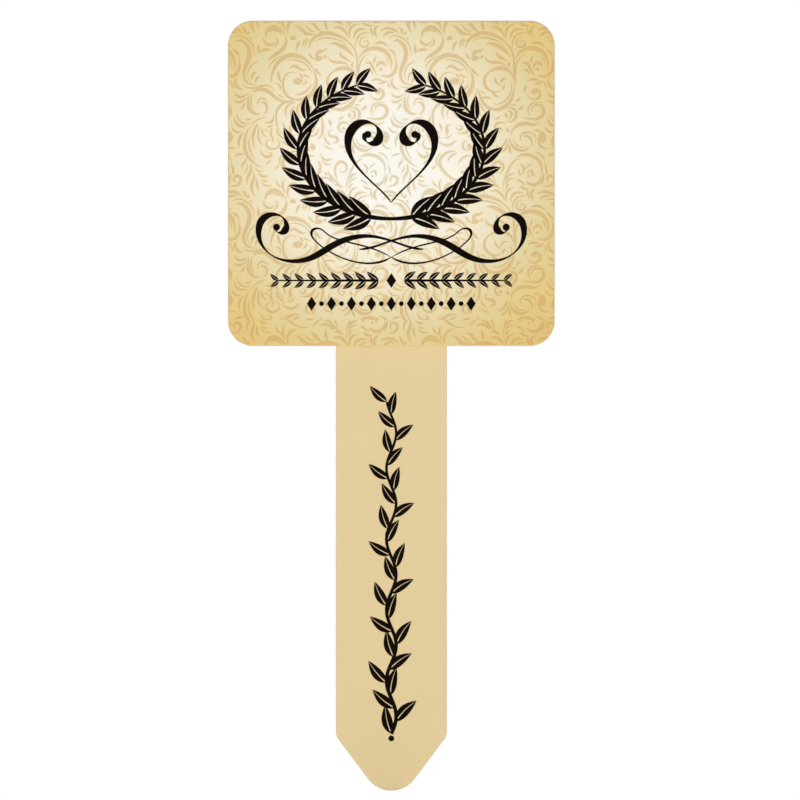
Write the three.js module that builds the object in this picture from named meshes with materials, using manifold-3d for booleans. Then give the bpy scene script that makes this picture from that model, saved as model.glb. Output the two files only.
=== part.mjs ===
// A memorial garden stake: a square printed head plate riveted to a flat pointed blade that is pushed into soil.
// Millimetres, +Z up. The printed front faces -Y and +X is to the right of someone who looks at it.
// The origin is the lowest point of the blade's tip, on the blade's middle plane.
import * as THREE from "three";
import { mergeVertices } from "three/addons/utils/BufferGeometryUtils.js";
import Module from "manifold-3d";

const wasm = await Module();
wasm.setup();

// Head: a sheet-metal square with a printed film and a clear weather film on its front
const HEAD_WIDTH = 101.6;
const HEAD_HEIGHT = 101.2;
const HEAD_CORNER_RADIUS = 7.8;
const HEAD_THICKNESS = 1.5;
const FILM_THICKNESS = 0.1;
const LAMINATE_THICKNESS = 0.1;
const FILM_EDGE_INSET = 0.3;

// Blade: a sheet-metal strip with a blunt point, whose upper end lies behind the head
const BLADE_WIDTH = 34.5;
const BLADE_THICKNESS = 1.5;
const BLADE_FREE_LENGTH = 138.15;
const BLADE_OVERLAP = 56;
const BLADE_TOP_RADIUS = 4;
const TIP_RADIUS = 9.1;
const TIP_HALF_ANGLE = THREE.MathUtils.degToRad(36.8);
const SHOULDER_RADIUS = 4.5;

// Bonding strips: two lengths of foam between the head and the blade
const STRIP_THICKNESS = 0.8;
const STRIP_GAP = 6;
const STRIP_SIDE_MARGIN = 1.5;
const STRIP_END_MARGIN = 3;

// Rivets: countersunk heads under the film, shanks through the strips, rolled tails on the blade's back
const RIVET_END_DISTANCE = 8;
const RIVET_SHANK_DIAMETER = 3.2;
const RIVET_HEAD_OVERHANG = 1.4;
const RIVET_HEAD_RECESS = 0.05;
const COUNTERSINK_LAND = 0.6;
const TAIL_OVERHANG = 1.1;
const TAIL_HEIGHT = 1.1;
const TAIL_WALL = 0.7;
const TAIL_BORE_DEPTH = 0.6;

// Clearances and edges
const HOLE_CLEARANCE = 0.1;
const EDGE_BREAK = 0.2;

// Facets
const CORNER_SEGMENTS = 8;
const ROUND_SEGMENTS = 32;
const ROLL_SEGMENTS = 5;

// Levels through the thickness, from the back of the blade to the front of the clear film
const BLADE_BACK = BLADE_THICKNESS / 2;
const BLADE_FRONT = BLADE_BACK - BLADE_THICKNESS;
const HEAD_BACK = BLADE_FRONT - STRIP_THICKNESS;
const HEAD_FRONT = HEAD_BACK - HEAD_THICKNESS;
const FILM_FRONT = HEAD_FRONT - FILM_THICKNESS;

// Places that follow from the sizes
const BLADE_TOP = BLADE_FREE_LENGTH + BLADE_OVERLAP;
const HEAD_CENTRE_Z = BLADE_FREE_LENGTH + HEAD_HEIGHT / 2;
const LAP_CENTRE_Z = BLADE_FREE_LENGTH + BLADE_OVERLAP / 2;
const STRIP_WIDTH = (BLADE_WIDTH - STRIP_GAP) / 2 - STRIP_SIDE_MARGIN;
const STRIP_LENGTH = BLADE_OVERLAP - 2 * STRIP_END_MARGIN;
const STRIP_CENTRE_X = (STRIP_GAP + STRIP_WIDTH) / 2;
const RIVET_CENTRE_Z = STRIP_LENGTH / 2 - RIVET_END_DISTANCE;
const SHANK_RADIUS = RIVET_SHANK_DIAMETER / 2;
const RIVET_HEAD_RADIUS = SHANK_RADIUS + RIVET_HEAD_OVERHANG;
const HOLE_RADIUS = SHANK_RADIUS + HOLE_CLEARANCE;
const MOUTH_RADIUS = RIVET_HEAD_RADIUS + HOLE_CLEARANCE;

// Rivet centres about the middle of the lap, in reading order from the upper left
const RIVET_CENTRES = [RIVET_CENTRE_Z, -RIVET_CENTRE_Z].flatMap((z) =>
  [-STRIP_CENTRE_X, STRIP_CENTRE_X].map((x) => ({ x, z })),
);

const powderCoat = () =>
  new THREE.MeshStandardMaterial({ color: "#e3cd9c", roughness: 0.5, metalness: 0 });
const printedFilm = () =>
  new THREE.MeshStandardMaterial({ color: "#f0e2bd", roughness: 0.4, metalness: 0 });
const clearFilm = () =>
  new THREE.MeshStandardMaterial({ color: "#ffffff", roughness: 0.15, transparent: true, opacity: 0.2 });
const foam = () =>
  new THREE.MeshStandardMaterial({ color: "#6d6c6a", roughness: 0.9, metalness: 0 });
const aluminium = () =>
  new THREE.MeshStandardMaterial({ color: "#c9cbcd", roughness: 0.4, metalness: 1 });

// A closed geometry as a solid that can be cut.
function toSolid(geometry) {
  const bare = geometry.clone();
  bare.deleteAttribute("normal");
  bare.deleteAttribute("uv");
  const merged = mergeVertices(bare);
  return new wasm.Manifold(
    new wasm.Mesh({
      numProp: 3,
      vertProperties: merged.attributes.position.array,
      triVerts: new Uint32Array(merged.index.array),
    }),
  );
}

// A solid back as a geometry that a mesh can hold.
function toGeometry(solid) {
  const { vertProperties, triVerts } = solid.getMesh();
  const geometry = new THREE.BufferGeometry();
  geometry.setAttribute("position", new THREE.BufferAttribute(vertProperties, 3));
  geometry.setIndex(new THREE.BufferAttribute(triVerts, 1));
  geometry.computeVertexNormals();
  return geometry;
}

// A rectangle with round corners, about its own middle.
function roundedRectangle(width, height, radius) {
  const x = width / 2 - radius;
  const y = height / 2 - radius;
  const shape = new THREE.Shape();
  shape.absarc(x, -y, radius, -Math.PI / 2, 0);
  shape.absarc(x, y, radius, 0, Math.PI / 2);
  shape.absarc(-x, y, radius, Math.PI / 2, Math.PI);
  shape.absarc(-x, -y, radius, Math.PI, 1.5 * Math.PI);
  return shape.closePath();
}

// The blade's outline, from its tip at the origin up: tip arc, slanted sides, rounded shoulders, round top corners.
function bladeOutline() {
  const half = BLADE_WIDTH / 2;
  const slant = TIP_HALF_ANGLE;
  const slantStart = TIP_RADIUS * (1 - Math.sin(slant));
  const slantRise = (half - TIP_RADIUS * Math.cos(slant)) / Math.tan(slant);
  const shoulder = slantStart + slantRise + SHOULDER_RADIUS * Math.tan(slant / 2);
  const sideX = half - SHOULDER_RADIUS;
  const topX = half - BLADE_TOP_RADIUS;
  const topY = BLADE_TOP - BLADE_TOP_RADIUS;
  const shape = new THREE.Shape();
  shape.absarc(0, TIP_RADIUS, TIP_RADIUS, Math.PI + slant, 2 * Math.PI - slant);
  shape.absarc(sideX, shoulder, SHOULDER_RADIUS, -slant, 0);
  shape.absarc(topX, topY, BLADE_TOP_RADIUS, 0, Math.PI / 2);
  shape.absarc(-topX, topY, BLADE_TOP_RADIUS, Math.PI / 2, Math.PI);
  shape.absarc(-sideX, shoulder, SHOULDER_RADIUS, Math.PI, Math.PI + slant);
  return shape.closePath();
}

// An upright sheet of a front-view outline, from y = 0 forwards to y = -thickness, with its edges broken if asked.
function sheet(outline, thickness, edgeBreak = 0) {
  const geometry = new THREE.ExtrudeGeometry(outline, {
    depth: thickness - 2 * edgeBreak,
    curveSegments: CORNER_SEGMENTS,
    bevelEnabled: edgeBreak > 0,
    bevelThickness: edgeBreak,
    bevelSize: edgeBreak,
    bevelOffset: -edgeBreak,
    bevelSegments: 1,
  });
  geometry.translate(0, 0, edgeBreak);
  return geometry.rotateX(Math.PI / 2);
}

// A round cutting tool about the y axis, from a profile of [radius, y] pairs that runs from front to back.
function turned(profile) {
  const points = profile.map(([radius, y]) => new THREE.Vector2(radius, y));
  return new THREE.LatheGeometry(points, ROUND_SEGMENTS);
}

// A sheet with the same tool cut out at each centre; lift is the height of the centres' middle in the sheet's frame.
function drilled(geometry, tool, lift, centres = RIVET_CENTRES) {
  const cut = centres.reduce(
    (solid, { x, z }) => solid.subtract(toSolid(tool.clone().translate(x, 0, z + lift))),
    toSolid(geometry),
  );
  return toGeometry(cut);
}

// A tool that cuts a straight hole through a sheet, and runs past both faces by the sheet's thickness.
function straightHole(thickness) {
  return turned([
    [0, -2 * thickness],
    [HOLE_RADIUS, -2 * thickness],
    [HOLE_RADIUS, thickness],
    [0, thickness],
  ]);
}

// A tool that cuts the head plate's hole, with its countersink open at the front.
function countersunkHole() {
  return turned([
    [0, -2 * HEAD_THICKNESS],
    [MOUTH_RADIUS, -2 * HEAD_THICKNESS],
    [MOUTH_RADIUS, RIVET_HEAD_RECESS - HEAD_THICKNESS],
    [HOLE_RADIUS, -COUNTERSINK_LAND],
    [HOLE_RADIUS, HEAD_THICKNESS],
    [0, HEAD_THICKNESS],
  ]);
}

// A set rivet: flush countersunk head, shank, and a hollow tail rolled over on the blade's back.
function rivetGeometry() {
  const bore = SHANK_RADIUS - TAIL_WALL;
  const tail = SHANK_RADIUS + TAIL_OVERHANG;
  const headFront = HEAD_FRONT + RIVET_HEAD_RECESS;
  const boreFloor = BLADE_BACK - TAIL_BORE_DEPTH;
  const outline = new THREE.Path();
  outline.moveTo(0, headFront);
  outline.lineTo(RIVET_HEAD_RADIUS, headFront);
  outline.lineTo(SHANK_RADIUS, HEAD_BACK - COUNTERSINK_LAND);
  outline.lineTo(SHANK_RADIUS, BLADE_BACK);
  outline.absellipse((tail + bore) / 2, BLADE_BACK, (tail - bore) / 2, TAIL_HEIGHT, 0, Math.PI);
  outline.lineTo(bore, boreFloor);
  outline.lineTo(0, boreFloor);
  return new THREE.LatheGeometry(outline.getPoints(ROLL_SEGMENTS), ROUND_SEGMENTS);
}

// One named piece, placed in its group.
function part(name, geometry, material, x, y, z) {
  const mesh = new THREE.Mesh(geometry, material);
  mesh.name = name;
  mesh.position.set(x, y, z);
  return mesh;
}

// The head: plate, printed film and clear film, about the head's own middle.
function makeHead() {
  const filmOutline = roundedRectangle(
    HEAD_WIDTH - 2 * FILM_EDGE_INSET,
    HEAD_HEIGHT - 2 * FILM_EDGE_INSET,
    HEAD_CORNER_RADIUS - FILM_EDGE_INSET,
  );
  const plateOutline = roundedRectangle(HEAD_WIDTH, HEAD_HEIGHT, HEAD_CORNER_RADIUS);
  const plate = drilled(
    sheet(plateOutline, HEAD_THICKNESS, EDGE_BREAK),
    countersunkHole(),
    LAP_CENTRE_Z - HEAD_CENTRE_Z,
  );
  const head = new THREE.Group();
  head.position.z = HEAD_CENTRE_Z;
  head.add(
    part("head_plate", plate, powderCoat(), 0, HEAD_BACK, 0),
    part("face_film", sheet(filmOutline, FILM_THICKNESS), printedFilm(), 0, HEAD_FRONT, 0),
    part("clear_laminate", sheet(filmOutline, LAMINATE_THICKNESS), clearFilm(), 0, FILM_FRONT, 0),
  );
  return head;
}

// The blade, with its tip at the origin and its upper end drilled for the rivets.
function makeBlade() {
  const blade = drilled(
    sheet(bladeOutline(), BLADE_THICKNESS, EDGE_BREAK),
    straightHole(BLADE_THICKNESS),
    LAP_CENTRE_Z,
  );
  return part("stake_blade", blade, powderCoat(), 0, BLADE_BACK, 0);
}

// One bonding strip, with a clearance hole at each of its rivets.
function makeStrip(name, x) {
  const half = STRIP_LENGTH / 2;
  const outline = new THREE.Shape([
    new THREE.Vector2(-STRIP_WIDTH / 2, -half),
    new THREE.Vector2(STRIP_WIDTH / 2, -half),
    new THREE.Vector2(STRIP_WIDTH / 2, half),
    new THREE.Vector2(-STRIP_WIDTH / 2, half),
  ]);
  const centres = [RIVET_CENTRE_Z, -RIVET_CENTRE_Z].map((z) => ({ x: 0, z }));
  const strip = drilled(
    sheet(outline, STRIP_THICKNESS),
    straightHole(STRIP_THICKNESS),
    0,
    centres,
  );
  return part(name, strip, foam(), x, BLADE_FRONT, 0);
}

// The lap joint: bonding strips and rivets, about the middle of the lap.
function makeLapJoint() {
  const lap = new THREE.Group();
  lap.position.z = LAP_CENTRE_Z;
  lap.add(
    makeStrip("bond_strip_left", -STRIP_CENTRE_X),
    makeStrip("bond_strip_right", STRIP_CENTRE_X),
  );
  RIVET_CENTRES.forEach(({ x, z }, index) => {
    lap.add(part(`rivet_${index + 1}`, rivetGeometry(), aluminium(), x, 0, z));
  });
  return lap;
}

const stake = new THREE.Group();
stake.name = "memorial_garden_stake";
stake.add(makeHead(), makeBlade(), makeLapJoint());

export default stake;
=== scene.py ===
"""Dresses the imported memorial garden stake: tan powder-coated plates, a printed film with gold scrollwork
and black leaf ornament, foam bonding strips and aluminium rivets, in a plain white studio.

Flat shapes are (x, z) points in millimetres, seen from the front. Depth is y, and the front faces -Y.
"""
import logging
import math
from dataclasses import dataclass, field
from enum import Enum

import bpy
import numpy as np
from bpy.types import ID, Material, Mesh, Node, NodeSocket, NodeTree, Object
from mathutils import Matrix, Vector
from mathutils.geometry import delaunay_2d_cdt


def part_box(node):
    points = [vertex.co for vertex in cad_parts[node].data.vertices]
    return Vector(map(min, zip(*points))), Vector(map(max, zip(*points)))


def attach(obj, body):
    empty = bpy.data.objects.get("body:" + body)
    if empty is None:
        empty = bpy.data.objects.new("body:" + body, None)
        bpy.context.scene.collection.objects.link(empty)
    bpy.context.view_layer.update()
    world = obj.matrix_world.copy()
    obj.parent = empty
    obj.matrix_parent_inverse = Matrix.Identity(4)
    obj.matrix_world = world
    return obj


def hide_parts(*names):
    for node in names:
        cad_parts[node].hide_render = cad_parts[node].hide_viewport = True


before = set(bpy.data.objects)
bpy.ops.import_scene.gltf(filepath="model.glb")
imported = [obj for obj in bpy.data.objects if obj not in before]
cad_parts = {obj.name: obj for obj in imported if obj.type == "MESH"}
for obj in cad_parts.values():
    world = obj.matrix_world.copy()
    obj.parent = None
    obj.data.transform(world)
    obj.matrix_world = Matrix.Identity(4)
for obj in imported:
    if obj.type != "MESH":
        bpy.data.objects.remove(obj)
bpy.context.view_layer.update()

MM = 0.001
BODY = "root"
RIVETS = tuple(f"rivet_{number}" for number in range(1, 5))
log = logging.getLogger("garden_stake")

# How far the back of an ink lies inside the sheet that carries it
SUNK_MM = 0.01
# Half widths: of a pointed end, of the end of a widened stroke, and the least that a narrowed stroke keeps
POINTED_MM = 0.01
WIDENED_END_MM = 0.05
LEAST_HALF_MM = 0.02
# Points this close are one point: in an outline, and where ribbons that overlap are merged
SAME_MM = 1e-6
MERGED_MM = 1e-5
# Added to a length that may be 0 before it divides
TINY = 1e-9
# The sockets of a colour Mix node: its two colours and its result
MIX_A, MIX_B, MIX_RESULT = 6, 7, 2

Pair = tuple[float, float]
Loop = np.ndarray
Ring = list[Pair]
Region = tuple[np.ndarray, np.ndarray]
PenLine = tuple[float | Pair, ...]
Motif = tuple[PenLine, ...]


class InkLayer(Enum):
    """How far each ink stands in front of the sheet that it is printed on, in millimetres."""

    LIGHT = 0.02
    EDGE = 0.035
    TAN = 0.05
    BLACK_STROKE = 0.065
    BLACK_LEAF = 0.075


class Slot(Enum):
    """The record's material slots."""

    COAT = "powder_coat"
    PRINT = "printed_film"
    FOAM = "foam"
    RIVET = "rivet_metal"


class Fill(Enum):
    """What a triangulation covers."""

    HULL = 0
    INSIDE = 1


# Helpers for nodes and materials


def linear(colour: str) -> tuple[float, float, float, float]:
    """Turns an sRGB hex colour into linear RGBA.

    Args:
        colour: the colour as #RRGGBB.

    Returns:
        Red, green, blue and an alpha of 1, in linear light.
    """
    parts = [int(colour[i:i + 2], 16) / 255 for i in (1, 3, 5)]
    red, green, blue = [c / 12.92 if c <= 0.04045 else ((c + 0.055) / 1.055) ** 2.4 for c in parts]
    return red, green, blue, 1.0


def wire(node: Node, inputs: dict) -> None:
    """Links or sets a node's inputs.

    Args:
        node: the node.
        inputs: values by input name or number; a socket is linked and anything else is set.
    """
    for name, value in inputs.items():
        if isinstance(value, NodeSocket):
            node.id_data.links.new(value, node.inputs[name])
        else:
            node.inputs[name].default_value = value


def add_node(tree: NodeTree, kind: str, settings: dict | None = None,
             inputs: dict | None = None) -> Node:
    """Adds a node with its settings and inputs.

    Args:
        tree: the tree that gets the node.
        kind: the node's type name.
        settings: the node's own properties by name.
        inputs: what its inputs are linked or set to.

    Returns:
        The new node.
    """
    node = tree.nodes.new(kind)
    for name, value in (settings or {}).items():
        setattr(node, name, value)
    wire(node, inputs or {})
    return node


def new_material(name: str) -> tuple[Material, NodeTree, Node, NodeSocket]:
    """Makes an empty Principled material.

    Args:
        name: the material's name.

    Returns:
        The material, its tree, its Principled shader and its Object coordinates.
    """
    material = bpy.data.materials.new(name)
    material.use_nodes = True
    tree = material.node_tree
    tree.nodes.clear()
    shader = add_node(tree, "ShaderNodeBsdfPrincipled")
    add_node(tree, "ShaderNodeOutputMaterial", inputs={"Surface": shader.outputs["BSDF"]})
    return material, tree, shader, add_node(tree, "ShaderNodeTexCoord").outputs["Object"]


# Finishes


@dataclass(frozen=True)
class PowderCoat:
    """Polyester powder coat on aluminium, sprayed dry and baked: satin, even, with fine orange peel."""

    name: str = "polyester_powder_coat_tan"
    colour: str = "#E2CC9B"
    cloud_colour: str = "#E0CA99"
    cloud_mm: float = 26.0
    cloud_span: Pair = (0.35, 0.7)
    peel_mm: float = 0.9
    peel_span: Pair = (0.3, 0.7)
    peel_height_mm: float = 0.012
    peel_strength: float = 0.6
    roughness: Pair = (0.46, 0.56)
    specular: float = 0.25

    def material(self) -> Material:
        """Builds the finish.

        Returns:
            Its material.
        """
        material, tree, shader, place = new_material(self.name)
        # The baked film is a shade uneven over a thumb's breadth.
        cloud = add_node(tree, "ShaderNodeTexNoise", inputs={
            "Vector": place, "Scale": 1 / (self.cloud_mm * MM), "Detail": 3.0})
        tone = add_node(tree, "ShaderNodeMapRange", inputs={
            "Value": cloud.outputs["Fac"], "From Min": self.cloud_span[0], "From Max": self.cloud_span[1]})
        colour = add_node(tree, "ShaderNodeMix", {"data_type": "RGBA"}, {
            "Factor": tone.outputs["Result"],
            MIX_A: linear(self.colour), MIX_B: linear(self.cloud_colour)})
        # Orange peel: shallow ripples about a millimetre apart, which break up the sheen.
        peel = add_node(tree, "ShaderNodeTexNoise", inputs={
            "Vector": place, "Scale": 1 / (self.peel_mm * MM), "Detail": 1.5})
        sheen = add_node(tree, "ShaderNodeMapRange", inputs={
            "Value": peel.outputs["Fac"], "From Min": self.peel_span[0], "From Max": self.peel_span[1],
            "To Min": self.roughness[0], "To Max": self.roughness[1]})
        bump = add_node(tree, "ShaderNodeBump", inputs={
            "Height": peel.outputs["Fac"], "Strength": self.peel_strength,
            "Distance": self.peel_height_mm * MM})
        wire(shader, {
            "Base Color": colour.outputs[MIX_RESULT], "Roughness": sheen.outputs["Result"],
            "Normal": bump.outputs["Normal"], "Specular IOR Level": self.specular})
        return material


@dataclass(frozen=True)
class GlowPrint:
    """Solvent ink on matt vinyl film: a colour that runs from a pale glow in the middle out to gold."""

    name: str
    stops: tuple[tuple[float, str], ...]
    glow_centre_mm: Pair
    reach_mm: float = 72.0
    droplet_mm: float = 0.45
    droplet_span: Pair = (0.25, 0.75)
    droplet_share: float = 0.05
    roughness: float = 0.5
    specular: float = 0.2

    def material(self) -> Material:
        """Builds the finish.

        Returns:
            Its material.
        """
        material, tree, shader, place = new_material(self.name)
        centre = (self.glow_centre_mm[0] * MM, 0.0, self.glow_centre_mm[1] * MM)
        offset = add_node(tree, "ShaderNodeVectorMath", {"operation": "SUBTRACT"}, {0: place, 1: centre})
        flat = add_node(tree, "ShaderNodeVectorMath", {"operation": "MULTIPLY"}, {
            0: offset.outputs["Vector"], 1: (1.0, 0.0, 1.0)})
        distance = add_node(tree, "ShaderNodeVectorMath", {"operation": "LENGTH"}, {
            0: flat.outputs["Vector"]})
        share = add_node(tree, "ShaderNodeMath", {"operation": "DIVIDE"}, {
            0: distance.outputs["Value"], 1: self.reach_mm * MM})
        ramp = add_node(tree, "ShaderNodeValToRGB", inputs={"Fac": share.outputs["Value"]})
        elements = ramp.color_ramp.elements
        elements.remove(elements[1])
        for index, (radius, colour) in enumerate(self.stops):
            stop = elements[0] if index == 0 else elements.new(radius / self.reach_mm)
            stop.position = radius / self.reach_mm
            stop.color = linear(colour)
        # Ink-jet droplets are far finer than a pixel, so they are drawn coarse enough to leave a grain.
        grain = add_node(tree, "ShaderNodeTexNoise", inputs={
            "Vector": place, "Scale": 1 / (self.droplet_mm * MM), "Detail": 2.0})
        level = add_node(tree, "ShaderNodeMapRange", inputs={
            "Value": grain.outputs["Fac"],
            "From Min": self.droplet_span[0], "From Max": self.droplet_span[1],
            "To Min": 1 - self.droplet_share, "To Max": 1 + self.droplet_share})
        colour = add_node(tree, "ShaderNodeVectorMath", {"operation": "SCALE"}, {
            0: ramp.outputs["Color"], "Scale": level.outputs["Result"]})
        wire(shader, {
            "Base Color": colour.outputs["Vector"], "Roughness": self.roughness,
            "Specular IOR Level": self.specular})
        return material


@dataclass(frozen=True)
class BlackInk:
    """Black solvent ink, printed twice for depth: near black with a warm cast, matt under the film."""

    name: str = "black_solvent_ink"
    colour: str = "#0B0604"
    thin_colour: str = "#120B07"
    patch_mm: float = 3.0
    roughness: float = 0.5
    specular: float = 0.02

    def material(self) -> Material:
        """Builds the finish.

        Returns:
            Its material.
        """
        material, tree, shader, place = new_material(self.name)
        # The second pass lies a little uneven, which shows as faint warm patches.
        patch = add_node(tree, "ShaderNodeTexNoise", inputs={
            "Vector": place, "Scale": 1 / (self.patch_mm * MM), "Detail": 2.0})
        colour = add_node(tree, "ShaderNodeMix", {"data_type": "RGBA"}, {
            "Factor": patch.outputs["Fac"], MIX_A: linear(self.colour), MIX_B: linear(self.thin_colour)})
        wire(shader, {
            "Base Color": colour.outputs[MIX_RESULT], "Roughness": self.roughness,
            "Specular IOR Level": self.specular})
        return material


@dataclass(frozen=True)
class FoamTape:
    """Closed-cell acrylic foam tape, die-cut: dull grey, with cut cells on its edges."""

    name: str = "acrylic_foam_tape_grey"
    colour: str = "#6D6C6A"
    # The colour painted in the middle of each cut cell: painted shade inside the pit
    pit_shade_colour: str = "#595856"
    cell_mm: float = 0.35
    cell_depth_mm: float = 0.1
    cell_strength: float = 0.7
    roughness: float = 0.9

    def material(self) -> Material:
        """Builds the finish.

        Returns:
            Its material.
        """
        material, tree, shader, place = new_material(self.name)
        # Each cut cell is a small pit, and its middle is painted darker as painted shade inside the pit.
        cells = add_node(tree, "ShaderNodeTexVoronoi", inputs={
            "Vector": place, "Scale": 1 / (self.cell_mm * MM)})
        colour = add_node(tree, "ShaderNodeMix", {"data_type": "RGBA"}, {
            "Factor": cells.outputs["Distance"],
            MIX_A: linear(self.pit_shade_colour), MIX_B: linear(self.colour)})
        bump = add_node(tree, "ShaderNodeBump", inputs={
            "Height": cells.outputs["Distance"], "Strength": self.cell_strength,
            "Distance": self.cell_depth_mm * MM})
        wire(shader, {
            "Base Color": colour.outputs[MIX_RESULT], "Roughness": self.roughness,
            "Normal": bump.outputs["Normal"]})
        return material


@dataclass(frozen=True)
class RivetMetal:
    """Aluminium rivet wire, cold headed and rolled: bright metal with fine drawn scratches."""

    name: str = "drawn_aluminium"
    colour: str = "#C9CBCD"
    scratch_mm: float = 0.25
    scratch_stretch: tuple[float, float, float] = (1.0, 0.15, 1.0)
    scratch_span: Pair = (0.3, 0.7)
    scratch_depth_mm: float = 0.02
    scratch_strength: float = 0.3
    roughness: Pair = (0.28, 0.5)

    def material(self) -> Material:
        """Builds the finish.

        Returns:
            Its material.
        """
        material, tree, shader, place = new_material(self.name)
        # Drawing leaves scratches along the shank, which streak the highlight.
        stretch = add_node(tree, "ShaderNodeMapping", inputs={
            "Vector": place, "Scale": self.scratch_stretch})
        scratch = add_node(tree, "ShaderNodeTexNoise", inputs={
            "Vector": stretch.outputs["Vector"], "Scale": 1 / (self.scratch_mm * MM), "Detail": 3.0})
        sheen = add_node(tree, "ShaderNodeMapRange", inputs={
            "Value": scratch.outputs["Fac"],
            "From Min": self.scratch_span[0], "From Max": self.scratch_span[1],
            "To Min": self.roughness[0], "To Max": self.roughness[1]})
        bump = add_node(tree, "ShaderNodeBump", inputs={
            "Height": scratch.outputs["Fac"], "Strength": self.scratch_strength,
            "Distance": self.scratch_depth_mm * MM})
        wire(shader, {
            "Base Color": linear(self.colour), "Metallic": 1.0, "Roughness": sheen.outputs["Result"],
            "Normal": bump.outputs["Normal"]})
        return material


# Flat shapes and meshes


def new_object(name: str, data: ID) -> Object:
    """Puts a new object into the scene.

    Args:
        name: the object's name.
        data: its mesh, curve, lamp or camera.

    Returns:
        The object.
    """
    made = bpy.data.objects.new(name, data)
    bpy.context.scene.collection.objects.link(made)
    return made


def new_mesh(name: str, points: np.ndarray | list, faces: list) -> Mesh:
    """Makes a mesh.

    Args:
        name: the mesh's name.
        points: its points, in metres.
        faces: the numbers of each face's points.

    Returns:
        The mesh.
    """
    mesh = bpy.data.meshes.new(name)
    mesh.from_pydata(points, [], faces)
    return mesh


def arc(centre: Pair, radius: float, start: float, end: float, steps: int = 16) -> Loop:
    """Points along an arc.

    Args:
        centre: the arc's centre.
        radius: the arc's radius.
        start: the first point's angle in radians.
        end: the last point's angle in radians.
        steps: how many straight stretches the arc gets.

    Returns:
        The points, both ends included.
    """
    angle = np.linspace(start, end, steps + 1)
    return np.stack([centre[0] + radius * np.cos(angle), centre[1] + radius * np.sin(angle)], axis=1)


def rounded_rectangle(centre: Pair, width: float, height: float, radius: float,
                      steps: int = 16) -> Loop:
    """The outline of a rectangle with round corners, counter-clockwise.

    Args:
        centre: the rectangle's middle.
        width: its size along x.
        height: its size along z.
        radius: its corner radius.
        steps: how many straight stretches each corner gets.

    Returns:
        The outline's points.
    """
    x = width / 2 - radius
    z = height / 2 - radius
    corners = ((x, -z, -0.5), (x, z, 0.0), (-x, z, 0.5), (-x, -z, 1.0))
    return np.concatenate([
        arc((centre[0] + cx, centre[1] + cz), radius, turn * math.pi, (turn + 0.5) * math.pi, steps)
        for cx, cz, turn in corners])


def left_of(points: np.ndarray, outline: Loop) -> np.ndarray:
    """Tells on which side of a convex outline's edges points lie.

    Args:
        points: the points to test.
        outline: the outline, counter-clockwise.

    Returns:
        For each point and edge, whether the point is on the edge's inner side.
    """
    edge = np.roll(outline, -1, axis=0) - outline
    rise = edge[:, 0] * (points[:, None, 1] - outline[:, 1])
    return rise - edge[:, 1] * (points[:, None, 0] - outline[:, 0]) >= 0


def merged_region(ribbons: list[tuple[Loop, Loop]], mask: Loop) -> Region:
    """Joins overlapping ribbons into one flat region and cuts it to a convex outline.

    Args:
        ribbons: the left and right side of each ribbon, point by point.
        mask: the outline to keep, counter-clockwise.

    Returns:
        The region's points and its triangles, which don't overlap.
    """
    rings = [np.concatenate([left, right[::-1]]) for left, right in ribbons] + [mask]
    starts = np.cumsum([0] + [len(ring) for ring in rings])
    edges = [(i, i + 1 if i + 1 < b else a) for a, b in zip(starts, starts[1:]) for i in range(a, b)]
    flat = [Vector(p) for p in np.concatenate(rings)]
    found = delaunay_2d_cdt(flat, edges, [], Fill.HULL.value, MERGED_MM, False)
    points = np.array([tuple(p) for p in found[0]])
    faces = np.array(found[2], dtype=np.int64)
    middle = points[faces].mean(axis=1)
    order = np.argsort(middle[:, 0])
    across = middle[order, 0]
    covered = np.zeros(len(faces), dtype=bool)
    for left, right in ribbons:
        for i in range(len(left) - 1):
            for corners in ((left[i], right[i], right[i + 1]), (left[i], right[i + 1], left[i + 1])):
                triangle = np.array(corners)
                low, high = triangle.min(axis=0), triangle.max(axis=0)
                near = order[np.searchsorted(across, low[0]):np.searchsorted(across, high[0])]
                near = near[(middle[near, 1] > low[1]) & (middle[near, 1] < high[1])]
                sides = left_of(middle[near], triangle)
                covered[near[sides.all(axis=1) | ~sides.any(axis=1)]] = True
    return points, faces[covered & left_of(middle, mask).all(axis=1)]


def clipped_region(region: Region, outline: Loop) -> Region:
    """Cuts a flat region to a convex outline.

    Args:
        region: the region's points and triangles, which don't overlap.
        outline: the convex outline to keep, counter-clockwise.

    Returns:
        The points and triangles that lie inside.
    """
    points, faces = region
    start = outline[np.linalg.norm(outline - np.roll(outline, -1, axis=0), axis=1) > SAME_MM]
    edge = np.roll(start, -1, axis=0) - start
    inside = left_of(points, start)
    whole = inside.all(axis=1)[faces].all(axis=1)
    gone = (~inside[faces]).all(axis=1).any(axis=1)
    corners = [points[face] for face in faces[whole]]
    for face in faces[~whole & ~gone]:
        ring = [tuple(points[i]) for i in face]
        for number in np.nonzero(~inside[face].all(axis=0))[0]:
            ring = cut_ring(ring, start[number], edge[number])
        corners.extend(np.array([ring[0], ring[k], ring[k + 1]]) for k in range(1, len(ring) - 1))
    flat = np.round(np.concatenate(corners), decimals=5)
    kept, index = np.unique(flat, axis=0, return_inverse=True)
    index = index.reshape(-1, 3)
    a, b, c = index.T
    return kept, index[(a != b) & (b != c) & (c != a)]


def cut_ring(ring: Ring, start: np.ndarray, edge: np.ndarray) -> Ring:
    """Cuts a convex ring of points with a straight line.

    Args:
        ring: the ring's points.
        start: a point on the line.
        edge: the line's direction; what lies to its left is kept.

    Returns:
        The points of the part that is kept.
    """
    kept = []
    for here, after in zip(ring, ring[1:] + ring[:1]):
        near = edge[0] * (here[1] - start[1]) - edge[1] * (here[0] - start[0])
        far = edge[0] * (after[1] - start[1]) - edge[1] * (after[0] - start[0])
        if near >= 0:
            kept.append(here)
        if (near > 0) != (far > 0) and near != far:
            share = near / (near - far)
            kept.append((here[0] + share * (after[0] - here[0]), here[1] + share * (after[1] - here[1])))
    return kept


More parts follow.
